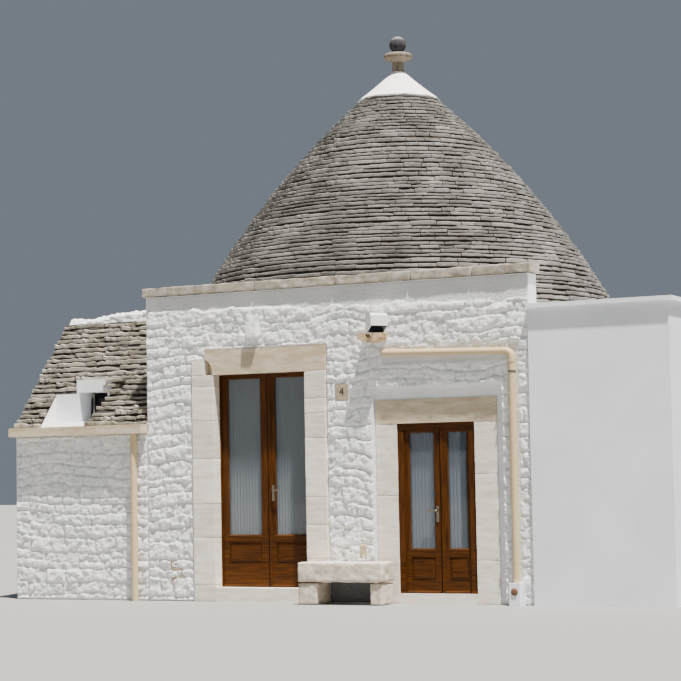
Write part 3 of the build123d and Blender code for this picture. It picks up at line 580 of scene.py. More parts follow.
print("cells in a grid of 3 by 3 points:", len(grid_faces(np.arange(9).reshape(3, 3)).reshape(-1, 4)))


# %% [markdown]
# Split stone has flat faces that meet in sharp creases, which a smooth noise can't give. A plane
# with a random tilt around each point of a jittered grid can: every place takes the plane of its
# nearest point, so neighbours meet in a crease.

# %% Broken faces
def broken_faces(u, v, cell, seed):
    """Height of flat tilted faces about one cell wide, mostly from -1 to 1."""
    draw = np.random.default_rng(seed)
    jitter = draw.uniform(0.1, 0.9, (2, 256, 256))
    tilt = draw.uniform(-1, 1, (3, 256, 256))
    i, j = np.floor(u / cell).astype(int), np.floor(v / cell).astype(int)
    nearest, height = np.full(u.shape, np.inf), np.zeros(u.shape)
    for di in (-1, 0, 1):
        for dj in (-1, 0, 1):
            a, b = (i + di) % 256, (j + dj) % 256
            du = u / cell - i - di - jitter[0, a, b]
            dv = v / cell - j - dj - jitter[1, a, b]
            plane = 0.5 * tilt[0, a, b] + tilt[1, a, b] * du + tilt[2, a, b] * dv
            closer = du ** 2 + dv ** 2 < nearest
            height = np.where(closer, plane, height)
            nearest = np.where(closer, du ** 2 + dv ** 2, nearest)
    return height


sample = broken_faces(*np.meshgrid(np.linspace(0, 1, 9), np.linspace(0, 1, 9)), cell=0.1, seed=1)
print("faces from", round(float(sample.min()), 2), "to", round(float(sample.max()), 2))

# %% [markdown]
# The walls are rubble in rough courses under many coats of limewash, and a high sun makes them
# readable: it catches the upper ledge of each stone and leaves its foot in shade. So each stone
# gets a short, steep ledge on top and a long, soft foot. Courses bend by up to 6 cm and ripple by
# up to 2, and both the beds and the upright joints are drawn at random around a usual height and
# length. Flat broken faces in two sizes, a hand and a few fingers wide, are added on top.

# %% Height of the stones
ledge, foot, stone_end = 0.010, 0.04, 0.014
course_height, stone_length = 0.145, 0.25
bend, ripple = 0.06, 0.02
bed_count, joint_count = 90, 120
first_bed, first_joint = -0.5, -6


def eased(t):
    """A smooth step from 0 to 1."""
    t = np.clip(t, 0, 1)
    return t * t * (3 - 2 * t)


def stone_relief(u, v, seed):
    """Height from 0 to 1 of stones laid in uneven courses, with a steep ledge and a soft foot."""
    draw = np.random.default_rng(seed)
    wavy = v + bend * value_noise(u, v, 0.55, seed + 3) + ripple * value_noise(u, v, 0.12, seed + 4)
    slanted = u + bend * value_noise(u, v, 0.25, seed + 1) + ripple * value_noise(u, v, 0.08, seed + 2)
    beds = np.cumsum(draw.uniform(course_height * 0.55, course_height * 1.5, bed_count)) + first_bed
    row = np.clip(np.searchsorted(beds, wavy), 1, bed_count - 1)
    upright = eased((wavy - beds[row - 1]) / foot) * eased((beds[row] - wavy) / ledge)
    relief = np.zeros_like(u)
    for r in np.unique(row):
        here = row == r
        lengths = draw.uniform(stone_length * 0.4, stone_length * 1.7, joint_count)
        joints = np.cumsum(lengths) + first_joint
        column = np.clip(np.searchsorted(joints, slanted[here]), 1, joint_count - 1)
        side = np.minimum(slanted[here] - joints[column - 1], joints[column] - slanted[here])
        proud = draw.uniform(0.25, 1, joint_count + 1)[column]
        relief[here] = proud * upright[here] * eased(side / stone_end)
    return relief


coat_thickness, behind_things, soft_margin = 0.002, 0.005, 0.05
stone_share, wall_share, most_height = 0.8, 0.15, 1.3
big_share, big_cell = 0.42, 0.085
small_share, small_cell = 0.22, 0.045


def rubble_height(u, v, seed, relief, flats):
    """Height of limewashed stones on a wall, kept low within the flats, where things stand close."""
    faces = big_share * broken_faces(u, v, big_cell, seed + 8)
    faces = faces + small_share * broken_faces(u, v, small_cell, seed + 9)
    share = stone_share * stone_relief(u, v, seed) + wall_share + faces
    height = coat_thickness + relief * np.clip(share, 0, most_height)
    for low, high in flats:
        away = np.maximum.reduce([low[0] - u, u - high[0], low[1] - v, v - high[1], np.zeros_like(u)])
        height = np.minimum(height, behind_things + relief * away / soft_margin)
    return height


print("a stone is about", stone_length, "by", course_height, "m")

# %% [markdown]
# A sheet of points over the wall is pushed out by that height. Its rims turn into the wall, it has
# a hole wherever a door or a smooth bay is, and it lies flat behind a pipe and around the number
# tile. Under the coping the rubble ends in a ragged line, and the plaster above it is set back, so
# the coping throws its shadow there. Single stones as meshes would cost several times the faces,
# and under so much limewash nobody would see between them.

# %% Rubble sheet
rim = -0.02
ragged, ragged_step = 0.035, 0.012
# Tone by height: the hollows get painted shade with some dirt, and the proudest stones a painted highlight.
neutral_height, height_to_tone, darkest_hollow, lightest_top = 0.5, 0.8, -0.4, 0.1
painted_shade_tone = -1.35


def grid_lines(size, pitch, holes):
    """Lines of a grid over a wall; those nearest to the edges of a hole are moved onto them."""
    u = np.linspace(0, size[0], int(size[0] / pitch) + 1)
    v = np.linspace(0, size[1], int(size[1] / pitch) + 1)
    for low, high in holes:
        for line, edges in ((u, (low[0], high[0])), (v, (low[1], high[1]))):
            for edge in edges:
                if line[0] < edge < line[-1]:
                    line[np.abs(line - edge).argmin()] = edge
    return u, v


def inside(u, v, low, high):
    """Which places lie within a rectangle of the wall."""
    return (u > low[0]) & (u < high[0]) & (v > low[1]) & (v < high[1])


def rubble_skin(name, corner, across, size, pitch, seed, relief, holes=(), flats=(), border=None, dark=None):
    """Lay a sheet of limewashed stones on a wall, from its lower left corner as seen from outside."""
    across = np.array(across, float)
    outward = np.cross(across, (0, 0, 1))
    u, v = grid_lines(size, pitch, holes)
    uu, vv = np.meshgrid(u, v, indexing="ij")
    height = rubble_height(uu, vv, seed, relief, flats)
    if border is not None:
        edge = border[0] + (border[1] - border[0]) * uu / size[0]
        edge = edge + ragged * value_noise(uu, vv * 0, 0.14, seed + 12)
        band = eased((vv - edge) / ragged_step)
        height = height * (1 - band) + coat_thickness * band
    middle_u, middle_v = (u[:-1] + u[1:])[:, None] / 2, (v[:-1] + v[1:])[None, :] / 2
    kept = np.ones((len(u) - 1, len(v) - 1), bool)
    for low, high in holes:
        kept &= ~inside(middle_u, middle_v, low, high)
    around = np.zeros_like(uu, int)
    for di in (0, 1):
        for dj in (0, 1):
            around[di:di + kept.shape[0], dj:dj + kept.shape[1]] += kept
    height = np.where(around < 4, rim, height)
    points = (
        np.array(corner) + uu[..., None] * across + vv[..., None] * np.array((0, 0, 1.0))
        + height[..., None] * outward
    ).reshape(-1, 3)
    quads = grid_faces(np.arange(uu.size).reshape(uu.shape))[kept]
    used, compact = np.unique(quads, return_inverse=True)
    # Painted shade in the hollows and painted highlight on the proudest stones, with some dirt in the
    # joints.
    hollow_shade_and_dirt = np.clip((height / relief - neutral_height) * height_to_tone, darkest_hollow, lightest_top)
    # Inside the given box the tone is set nearly black: painted shade.
    if dark is not None:
        hollow_shade_and_dirt = np.where(inside(uu, vv, *dark), painted_shade_tone, hollow_shade_and_dirt)
    lay_piece(
        name, points[used], compact.reshape(-1, 4).tolist(), limewash,
        tones=hollow_shade_and_dirt.reshape(-1)[used],
    )


print("rims turn in by", -rim, "m")

# %% [markdown]
# The front is the wall that the street sees, so its grid is the finest. Its holes and flats come from the
# boxes of the pieces that stand in them. Behind the opening of the bench, which shows brown and black, the
# wall is given a nearly black tone: painted shade.

# %% Rubble of the front
coping_low, coping_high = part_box("facade_coping")
jambs_low, jambs_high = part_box("left_door_jambs")
lintel_low, lintel_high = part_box("left_door_lintel")
stones_low, stones_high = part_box("right_door_jambs")
tile_low, tile_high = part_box("number_tile")
pipe_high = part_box("drain_pipes")[1]
foot_low, foot_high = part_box("pipe_foot")
bench_low, bench_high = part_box("bench_slab")
bay_left, bay_right, bay_top = 3.125, 4.765, 2.525
pipe_start, pipe_fall, pipe_half, margin = 3.3, 0.16, 0.05, 0.02
upright_pipe = (foot_low.x + foot_high.x) / 2 - front_left
fine_pitch, front_relief = 0.0145, 0.027
band_left, band_right = 3.585, 3.46
underground = -1


def on_front(left, bottom, right_side, top):
    """Corners of a rectangle of the front, measured from its lower left corner."""
    return (left - front_left, bottom), (right_side - front_left, top)


rubble_skin(
    "front_rubble", (front_left, front, 0), (1, 0, 0), (front_right - front_left, coping_low.z),
    fine_pitch, 11, front_relief,
    holes=(
        on_front(jambs_low.x, underground, jambs_high.x, lintel_low.z),
        on_front(jambs_low.x, underground, lintel_low.x, jambs_high.z),
        on_front(lintel_low.x, lintel_low.z, lintel_high.x, lintel_high.z),
        ((bay_left, underground), (bay_right, bay_top)),
    ),
    flats=(
        on_front(tile_low.x, tile_low.z, tile_high.x, tile_high.z),
        ((pipe_start - margin, pipe_high.z - pipe_fall), (pipe_high.x - front_left, pipe_high.z)),
        ((upright_pipe - pipe_half, 0), (upright_pipe + pipe_half, pipe_high.z)),
    ),
    border=(band_left, band_right),
    # The wall behind the bench's opening gets painted shade.
    dark=on_front(bench_low.x, 0, bench_high.x, bench_low.z - 0.01),
)

# %% [markdown]
# The alcove's wall repeats the front's rubble. The back and the party side can't be seen in the
# picture: they get the same stones, on a grid half as fine. On the party side the sheet begins
# behind the alcove's ridge, because in front of it the roof slopes down to the street.

# %% Rubble of the other walls
party_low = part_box("left_wall")[0]
eave_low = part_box("eave_stone")[0]
back_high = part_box("back_wall")[1]
coarse_pitch, back_relief = 0.028, 0.026
behind_ridge = 1.25
rubble_skin(
    "alcove_rubble", (party_low.x, front, 0), (1, 0, 0), (front_left - party_low.x, eave_low.z),
    fine_pitch, 23, front_relief,
)
rubble_skin(
    "back_rubble", (back_high.x, back_high.y, 0), (-1, 0, 0), (back_high.x - party_low.x, back_high.z),
    coarse_pitch, 37, back_relief,
)
rubble_skin(
    "party_rubble", (party_low.x, back_high.y, 0), (0, -1, 0),
    (back_high.y - front - behind_ridge, back_high.z), coarse_pitch, 41, back_relief,
)

# %% [markdown]
# The cone is laid dry: rings of flat slabs, each ring set back from the one below, with dark gaps
# between them. Its outline bulges a little, so each course takes its radius from an arc between the
# foot and the top. That arc is worked out here from the same sizes as the model's.

# %% Outline of the cone
cone_low, cone_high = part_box("cone_roof")
cap_low, cap_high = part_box("cone_cap")
cap_lip = 0.01
foot_radius = (cone_high.x - cone_low.x) / 2
top_radius = (cap_high.x - cap_low.x) / 2 - cap_lip
cone_base, cone_top = cone_low.z, cone_high.z
bulge = 0.18
chord = math.hypot(foot_radius - top_radius, cone_top - cone_base)
arc_radius = (chord ** 2 / 4 + bulge ** 2) / (2 * bulge)
normal_r = (cone_top - cone_base) / chord
normal_z = (foot_radius - top_radius) / chord
arc_centre_r = (foot_radius + top_radius) / 2 - normal_r * (arc_radius - bulge)
arc_centre_z = (cone_base + cone_top) / 2 - normal_z * (arc_radius - bulge)


def cone_radius(z):
    """Radius of the cone's outline at a height."""
    return arc_centre_r + math.sqrt(arc_radius ** 2 - (z - arc_centre_z) ** 2)


print("radius halfway up", round(cone_radius((cone_base + cone_top) / 2), 3))

# %% [markdown]
# A smooth cone with bump would lose the saw-toothed outline against the sky, so every slab is a mesh of its
# own, and they are joined into one piece. A slab is an outline of six points swept over five stations along
# its edge. Both edges of its face stand back a little, its ends are rounded, and each station is moved by
# its wear. The last number of each outline point is a tone: painted shade on the back and the lower edge,
# where the parts lie deep, and a painted highlight on the upper edge.

# %% One slab
stations = 5
# Reach, height share and tone of each point of the face; the tones paint shade on the lower edge and a
# highlight on the upper edge.
face_outline = ((0.006, 0.0, -0.45), (0.0, 0.16, 0.0), (0.0, 0.84, 0.06), (0.009, 1.0, 0.12))
deep_shade = -0.8
end_rounding = 0.008
pale_share = 0.85


def slab(heap, corner, along_edge, inward, length, thickness, depth, wear, draw):
    """Add one worn slab to a heap of points, faces and tones; its outer lower left corner is given."""
    points, faces, tones = heap
    first = len(points)
    tone = draw.uniform(-0.25, 0.2) if draw.random() < pale_share else draw.uniform(0.2, 0.45)
    lean = draw.uniform(-wear, wear)
    outline = ((depth, 0.0, deep_shade), *face_outline, (depth, 1.0, deep_shade))
    for k in range(stations):
        share = k / (stations - 1)
        round_end = end_rounding if k in (0, stations - 1) else 0.0
        droop = draw.uniform(-0.7, 0.7) * wear
        ragged_by = draw.uniform(-1, 1) * wear
        for reach, level, shade in outline:
            outer = reach < depth
            back = reach + (round_end + ragged_by + lean * share if outer else 0)
            lift = thickness * level + droop * (1 if level > 0.5 else 0.4)
            points.append(corner + along_edge * (length * share) + inward * back + Vector((0, 0, lift)))
            tones.append(tone + shade + draw.uniform(-0.12, 0.12))
    ring = len(outline)
    for k in range(stations - 1):
        for m in range(ring):
            a, b = first + k * ring + m, first + k * ring + (m + 1) % ring
            faces.append((a, b, b + ring, a + ring))
    faces.append(tuple(first + m for m in reversed(range(ring))))
    faces.append(tuple(first + (stations - 1) * ring + m for m in range(ring)))


print("a slab has", (len(face_outline) + 2) * (stations - 1) + 2, "faces")

# %% Slabs of the cone
usual_course = 0.0595
joint_gap, slab_depth, slab_wear, closing = 0.010, 0.16, 0.008, 0.02
draw = random.Random(5)
heap = ([], [], [])
course_count = round((cone_top - cone_base) / usual_course)
beds = np.cumsum([0] + [draw.uniform(0.72, 1.32) for _ in range(course_count)])
beds = cone_base + beds * (cone_top - cone_base) / beds[-1]
for bed, next_bed in zip(beds[:-1], beds[1:]):
    z, course = float(bed), float(next_bed - bed)
    radius = cone_radius(z + course / 2)
    angle = draw.uniform(0, 1)
    start = angle
    while angle < start + 2 * math.pi - closing:
        length = draw.uniform(0.17, 0.42) * (0.6 + 0.4 * radius / foot_radius)
        turn = min(length / radius, start + 2 * math.pi - angle)
        gap = joint_gap / radius
        mid = angle + turn / 2
        outward = Vector((math.cos(mid), math.sin(mid), 0))
        tangent = Vector((-math.sin(mid), math.cos(mid), 0))
        edge = 2 * radius * math.sin((turn - gap) / 2)
        corner = outward * (radius * math.cos(turn / 2)) - tangent * (edge / 2) + Vector((0, 0, z))
        thickness = course * draw.uniform(0.50, 0.76)
        slab(heap, corner, tangent, -outward, edge, thickness, slab_depth, slab_wear, draw)
        angle += turn
points, faces, tones = heap
lay_piece(
    "cone_slabs", points, faces, slab_stone, instead_of=("cone_roof",),
    smooth=False, tones=tones,
)


# %% [markdown]
# Behind the slabs a closed core stands in for the hidden rubble and carries the dome of the room.
# It is turned like a pot: an outline of radii and heights around the axis. A screw modifier would
# do it too. The same small function turns the plug and the window's bar further down.

# %% Core of the cone
def turned(outline, turns, middle, sideways, outward):
    """Turn an outline of radii and distances around an axis through middle that points outward."""
    across = outward.cross(sideways)
    points, rings, faces = [], [], []
    for radius, out in outline:
        count = turns if radius else 1
        rings.append([len(points) + k for k in range(count)])
        for k in range(count):
            angle = 2 * math.pi * k / turns
            spoke = sideways * math.cos(angle) + across * math.sin(angle)
            points.append(middle + outward * out + spoke * radius)
    for one, other in zip(rings[:-1], rings[1:]):
        for k in range(turns):
            near, far = k, (k + 1) % turns
            corners = [ring[place % len(ring)] for ring, place in zip(
                (one, one, other, other), (near, far, far, near),
            )]
            faces.append(tuple(dict.fromkeys(corners)))
    return points, faces


east, north, upward_axis = Vector((1, 0, 0)), Vector((0, 1, 0)), Vector((0, 0, 1))
core_depth = 0.06
dome_foot, dome_crown, dome_height = 2.3, 0.25, 2.55
core_heights = cone_base + np.linspace(0, 1, 24) * (cone_top - cone_base)
core_outline = [(0, cone_base + dome_height), (dome_crown, cone_base + dome_height), (dome_foot, cone_base)]
core_outline += [(cone_radius(z) - core_depth, z) for z in core_heights]
core_outline += [(0, cone_top)]
core_points, core_faces = turned(core_outline, 96, Vector(), east, upward_axis)
# The core's dark finish is painted shade, seen in the gaps between the slabs.
lay_piece("cone_core", core_points, core_faces, shade_stone, instead_of=("cone_roof",))

# %% [markdown]
# The white of the cap runs a little way over the topmost slabs and ends there in a ragged line. It
# is a thin sleeve, a centimetre off the slabs, whose lower edge is moved by noise.

# %% Lower edge of the cap
sleeve_turns, sleeve_drop, sleeve_gap = 96, 0.045, 0.012
sleeve_ragged, sleeve_lap, sleeve_rise = 0.014, 0.03, 0.004
angles = np.linspace(0, 2 * math.pi, sleeve_turns, endpoint=False)
ragged_edge = cone_top - sleeve_drop + sleeve_ragged * value_noise(angles, angles * 0, 0.16, 71)
sleeve_points = []
for angle, low_edge in zip(angles, ragged_edge):
    for radius, z in (
        (cone_radius(low_edge) - sleeve_lap, low_edge), (cone_radius(low_edge) + sleeve_gap, low_edge),
        (top_radius + sleeve_gap, cone_top), (top_radius, cone_top + sleeve_rise),
    ):
        sleeve_points.append((radius * math.cos(angle), radius * math.sin(angle), z))
sleeve_faces = [
    (4 * k + m, 4 * ((k + 1) % sleeve_turns) + m, 4 * ((k + 1) % sleeve_turns) + m + 1, 4 * k + m + 1)
    for k in range(sleeve_turns) for m in range(3)
]
lay_piece("cap_edge", sleeve_points, sleeve_faces, fresh_lime)

# %% [markdown]
# The alcove has the same slabs on a straight slope, thicker and more uneven. They stop at the
# cheeks of the window well, and where the plastered wall of the window rises through the slope. On
# its right a short stack of slabs laps over that wall's edge.

# %% Slabs of the alcove
roof_low, roof_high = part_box("alcove_roof")
window_low, window_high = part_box("alcove_window")
slope_rise, slope_run = roof_high.z - roof_low.z, roof_high.y - roof_low.y
alcove_course, alcove_gap, alcove_depth, alcove_wear = 0.066, 0.010, 0.17, 0.020
shortest, proud, bed_play = 0.03, 0.02, 0.007
alcove_count = round(slope_rise / alcove_course)
cheek_top, cheek_low, cheek_high = front_left - 0.75, 2.25, 2.622
dormer_left, dormer_right = front_left - 1.273, front_left - 0.742
dormer_top = window_high.z
draw = random.Random(17)
heap = ([], [], [])
for number in range(alcove_count):
    z = roof_low.z + number * slope_rise / alcove_count
    y = roof_low.y + (z - roof_low.z) / slope_rise * slope_run
    cheek = cheek_foot + (z - cheek_low) / (cheek_high - cheek_low) * (cheek_top - cheek_foot)
    if y < window_low.y:
        spans = ((roof_low.x, well_left), (cheek, front_left))
    elif z + alcove_course / 2 < dormer_top:
        spans = ((roof_low.x, dormer_left), (dormer_right, front_left))
    else:
        spans = ((roof_low.x, front_left),)
    for low, high in spans:
        x = low
        while x < high - shortest:
            length = min(draw.uniform(0.14, 0.4), high - x)
            lift = draw.uniform(-bed_play, bed_play)
            corner = Vector((x + alcove_gap / 2, y - proud, z + lift))
            thickness = alcove_course * draw.uniform(0.52, 0.82)
            edge = length - alcove_gap
            slab(heap, corner, east, north, edge, thickness, alcove_depth, alcove_wear, draw)
            x += length

# %% Stack beside the window
lap, stack_length, stack_wear, stack_proud = 0.10, 0.24, 0.014, 0.03
stack_thickness = alcove_course * 0.7
z = cheek_high
while z < dormer_top - shortest:
    length = stack_length + draw.uniform(0, 0.05)
    x = dormer_right - lap + draw.uniform(-0.02, 0.03)
    corner = Vector((x, window_low.y - stack_proud, z))
    slab(heap, corner, east, north, length, stack_thickness, alcove_depth, stack_wear, draw)
    z += alcove_course
points, faces, tones = heap
lay_piece("alcove_slabs", points, faces, warm_slab, smooth=False, tones=tones)

# %% [markdown]
# Along the alcove's ridge lies a bank of limewashed rubble that climbs to the right. It is a sheet
# over an arch-shaped section, swept along the ridge and pushed about by noise.

# %% Limewashed ridge
ridge_low, ridge_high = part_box("alcove_ridge")
ridge_foot = roof_high.z
bank_height, bank_climb = 0.05, 0.16
ridge_length = ridge_high.x - ridge_low.x
ridge_shares, arch_shares = np.linspace(0, 1, 80), np.linspace(0, 1, 19)
xx, tt = np.meshgrid(ridge_low.x + ridge_shares * ridge_length, arch_shares, indexing="ij")
share = (xx - ridge_low.x) / (front_left - ridge_low.x)
crest = ridge_foot + bank_height + share * bank_climb
lumps = 0.035 * value_noise(xx, tt * 0.8, 0.13, 61) + 0.02 * value_noise(xx, tt * 0.8, 0.05, 62)
middle_y = (ridge_low.y + ridge_high.y) / 2
half_width = (ridge_high.y - ridge_low.y) / 2
arch = np.sin(tt * math.pi)
yy = middle_y - half_width * np.cos(tt * math.pi)
zz = ridge_low.z + (crest - ridge_low.z) * np.sqrt(arch.clip(0, 1)) + lumps * arch
index = np.arange(xx.size).reshape(xx.shape)
quads = grid_faces(index).reshape(-1, 4).tolist()
quads += [index[0, :].tolist(), index[-1, ::-1].tolist()]
lay_piece(
    "ridge_rubble", np.stack((xx, yy, zz), -1).reshape(-1, 3), quads, limewash,
    instead_of=("alcove_ridge",),
)


# %% [markdown]
# Old dressed stones have soft corners and dips. A bevelled cube would have the corners but not the
# dips, so each stone is a box of points pulled onto a rounded box and then moved in and out by
# noise. A narrow row of points along each edge keeps the rounding from bending the whole face.

# %% Worn stones
dip_cell, chip_cell, chip_share = 0.12, 0.045, 0.5


def worn_stone(heap, low, high, radius, wear, seed, tone, pitch):
    """Add one stone between two corners to a heap of points, faces and tones."""
    points, faces, tones = heap
    low, high = np.array(low, float), np.array(high, float)
    edge_rows = np.minimum(0.25, 1.5 * radius / (high - low))
    inner = np.maximum(1, np.ceil((high - low) / pitch).astype(int))
    shares = [np.concatenate(([0], np.linspace(e, 1 - e, n + 1), [1])) for e, n in zip(edge_rows, inner)]
    counts = inner + 2
    known = {}

    def point(key):
        """The number of the point at a grid place, made when it is first asked for."""
        if key not in known:
            known[key] = len(points)
            place = low + (high - low) * [shares[a][key[a]] for a in range(3)]
            core = np.clip(place, low + radius, high - radius)
            out = place - core
            size = np.linalg.norm(out)
            place = core + out / size * radius
            bumps = value_noise(place[:1] + place[1], place[2:3], dip_cell, seed)[0]
            chips = value_noise(place[:1] - place[1], place[2:3], chip_cell, seed + 1)[0]
            bumps += chip_share * chips
            points.append(place + out / size * wear * (bumps - 1))
            tones.append(tone)
        return known[key]

    for axis in range(3):
        first, second = (axis + 1) % 3, (axis + 2) % 3
        for end in (0, counts[axis]):
            for i in range(counts[first]):
                for j in range(counts[second]):
                    quad = []
                    for di, dj in ((0, 0), (1, 0), (1, 1), (0, 1)):
                        key = [0, 0, 0]
                        key[axis], key[first], key[second] = int(end), i + di, j + dj
                        quad.append(point(tuple(key)))
                    faces.append(tuple(quad if end else quad[::-1]))


def stone_stack(name, boxes, radius, wear, seed, material, instead_of=(), pitch=0.035):
    """Lay a list of stones, each given by its low corner, high corner and tone, as one piece."""
    heap = ([], [], [])
    for number, (low, high, tone) in enumerate(boxes):
        worn_stone(heap, low, high, radius, wear, seed + 3 * number, tone, pitch)
    points, faces, tones = heap
    return lay_piece(name, points, faces, material, instead_of=instead_of, tones=tones)


def between(low, high, levels, tones, joint=0.0015):
    """Cut one upright block into stones at some levels."""
    marks = [low[2], *[z for z in levels if low[2] < z < high[2]], high[2]]
    return [
        ((low[0], low[1], a + joint / 2), (high[0], high[1], b - joint / 2), tones[k % len(tones)])
        for k, (a, b) in enumerate(zip(marks[:-1], marks[1:]))
    ]


print("stones of a block cut at 0.4:", len(between((0, 0, 0), (1, 1, 1), (0.4,), (0,))))

# %% [markdown]
# A jamb is a stack of such stones with thin joints. The picture shows the joints of the posts, and
# the heights below are read from it. The block at the top left stands beside the broken end of the
# lintel. A short list of shades goes round from stone to stone.

# %% Jambs
beige_white = (-0.2, 0.06, -0.12, 0.14, -0.16, 0.02)
left_joints = (0.202, 0.774, 1.188, 1.739, 2.205, 2.623)
right_joints = (0.521, 0.923, 1.255, 1.957, 2.255, 2.434)
jamb_front, jamb_back = jambs_low.y, jambs_high.y
left_inner, right_inner = front_left + 0.98, front_left + 2.24
boxes = between(
    (jambs_low.x, jamb_front, 0), (left_inner, jamb_back, lintel_low.z), left_joints, beige_white,
)
boxes += between(
    (jambs_low.x, jamb_front, lintel_low.z), (lintel_low.x, jamb_back, jambs_high.z), (), (0.05,),
)
boxes += between(
    (right_inner, jamb_front, 0), (jambs_high.x, jamb_back, lintel_low.z), right_joints, beige_white,
)
stone_stack("left_jamb_stones", boxes, 0.003, 0.0015, 101, limestone, ("left_door_jambs",))

frame_low, frame_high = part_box("right_door_frame")
left_post_joints, right_post_joints = (1.259,), (0.504, 1.497)
boxes = between(
    stones_low[:], (frame_low.x, stones_high.y, stones_high.z), left_post_joints, (-0.04, -0.1),
)
boxes += between((frame_high.x, stones_low.y, 0), stones_high[:], right_post_joints, (-0.06, -0.02, -0.09))
stone_stack("right_jamb_stones", boxes, 0.003, 0.002, 151, limestone, ("right_door_jambs",))

# %% [markdown]
# The coping is a row of long stones, and the bench is a thick slab on two legs. The joints of the
# coping don't show in the picture, so those are laid by eye. The bench stands out into the street
# and has the roundest edges of the dressed stones, so its points lie closer.

# %% Coping and bench
coping_joints = (0.0, 0.31, 0.52, 0.71, 0.86, 1.0)
coping_tones = (-0.04, 0.03, -0.01, 0.05, -0.02)
coping_length = coping_high.x - coping_low.x
coping_wear, half_joint = 0.010, 0.002
boxes = [
    (
        (coping_low.x + a * coping_length + half_joint, coping_low.y - coping_wear, coping_low.z),
        (coping_low.x + b * coping_length - half_joint, coping_high.y, coping_high.z), tone,
    )
    for a, b, tone in zip(coping_joints[:-1], coping_joints[1:], coping_tones)
]
stone_stack("coping_stones", boxes, 0.012, 0.007, 201, weathered, ("facade_coping",))

bench_pitch = 0.022
stone_stack(
    "bench_seat", [(bench_low[:], bench_high[:], 0.0)], 0.022, 0.008, 251, bench_stone,
    ("bench_slab",), pitch=bench_pitch,
)
legs_low, legs_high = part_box("bench_legs")
left_leg_width, right_leg_width = 0.26, 0.16
leg_boxes = [
    (legs_low[:], (legs_low.x + left_leg_width, legs_high.y, legs_high.z), -0.05),
    ((legs_high.x - right_leg_width, legs_low.y, 0), legs_high[:], -0.02),
]
stone_stack(
    "bench_feet", leg_boxes, 0.018, 0.006, 271, bench_stone, ("bench_legs",),
    pitch=bench_pitch,
)

# %% [markdown]
# A few stones break the white of the front. Two limed stubs stick out of it, and each has a short
# shadow on the lintel below. The left shadow reaches as far down as a stub of 114 mm throws it. The
# right one lies further left than it should, so the 30 mm of that stub are a guess. Two stones are
# bare.

# %% Stubs and bare stones
set_in = 0.02
stub_boxes = [
    ((-0.536, front - 0.114, 3.195), (-0.382, front + set_in, 3.39), 0.0),
    ((1.895, front - 0.03, 2.533), (1.972, front + set_in, 2.708), 0.0),
]
stone_stack("limed_stubs", stub_boxes, 0.008, 0.004, 281, limewash, pitch=0.02)
bare_boxes = [
    ((-1.694, front - 0.026, 0.22), (-1.492, front + set_in, 0.491), -0.3),
    ((0.918, front - 0.03, 0.52), (1.023, front + set_in, 0.696), -0.15),
]
stone_stack("bare_stones", bare_boxes, 0.014, 0.006, 285, lintel_stone, pitch=0.02)

# %% [markdown]
# The ridge of the alcove carries loose limed stones on its bank, in two rows that climb with it.

# %% Ridge stones
row_gap, row_depth = 0.11, 0.14
stone_crest, stone_climb = 0.03, 0.2
row_start, row_end = ridge_low.x + 0.05, front_left - 0.3
draw = random.Random(29)
loose = []
x = row_start
while x < row_end:
    length = draw.uniform(0.16, 0.34)
    share = (x + length / 2 - ridge_low.x) / (front_left - ridge_low.x)
    crest_here = ridge_foot + stone_crest + share * stone_climb
    for side in (0, 1):
        y = ridge_low.y + draw.uniform(-0.02, 0.02) + side * row_gap
        tall = draw.uniform(0.07, 0.13)
        low = (x, y, crest_here - tall - draw.uniform(0, 0.05))
        loose.append((low, (x + length, y + row_depth, low[2] + tall), 0.0))
    x += length * draw.uniform(0.7, 0.95)
stone_stack("ridge_stones", loose, 0.03, 0.016, 287, limewash, pitch=0.03)

# %% [markdown]
# Each pane has a sheer curtain gathered behind it, so it hangs in shallow upright pleats. Cloth this
# regular needs no simulation: a wave of that pitch, a little uneven, gives its section, and its flat
# width is the length of that wave. In the low door's right leaf the curtain stops short of the
# pane's right edge, so it is drawn to a share.

# %% Curtains
pleat, pleat_depth, pleat_swell = 0.042, 0.13, 0.35
cloth_pitch, cloth_rows = 0.004, 24


def hang_curtain(node, body, seed, cloth, drawn=1.0):
    """A pleated curtain in the space of its node, from its left edge over a drawn share of it."""
    low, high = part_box(node)
    width, height = (high.x - low.x) * drawn, high.z - low.z
    u = np.linspace(0, width, int(width / cloth_pitch))
    swell = 1 + pleat_swell * value_noise(u, u * 0, 0.11, seed)
    phase = 2 * math.pi * u / pleat + 1.2 * value_noise(u, u * 0, 0.16, seed + 1)
    wave = (high.y - low.y) * (0.5 + pleat_depth * swell * np.sin(phase))
    v = np.linspace(0, height, cloth_rows)
    uu, vv = np.meshgrid(u, v, indexing="ij")
    yy = low.y + np.repeat(wave[:, None], len(v), 1)
    points = np.stack((low.x + uu, yy, low.z + vv), -1)
    quads = grid_faces(np.arange(uu.size).reshape(uu.shape)).reshape(-1, 4)
    piece = lay_piece(
        f"{node}_cloth", points.reshape(-1, 3), quads.tolist(), cloth,
        body=body, instead_of=(node,),
    )


short_share = 0.58
for number, door in enumerate(("left_door", "right_door")):
    for side in ("left", "right"):
        cloth = grey_cotton if door == "left_door" else blue_cotton
        drawn = short_share if (door, side) == ("right_door", "right") else 1.0
        seed = 300 + 10 * number + len(side)
        hang_curtain(f"{door}_curtain_{side}", f"{door}_{side}_leaf", seed, cloth, drawn)

# %% [markdown]
# The hood of the lamp on the front is cut off at a slant below, and a dark glass closes the cut,
# rising from its back to its front. It is a thin closed sheet, placed by the lamp's own turn of
# 52 degrees.

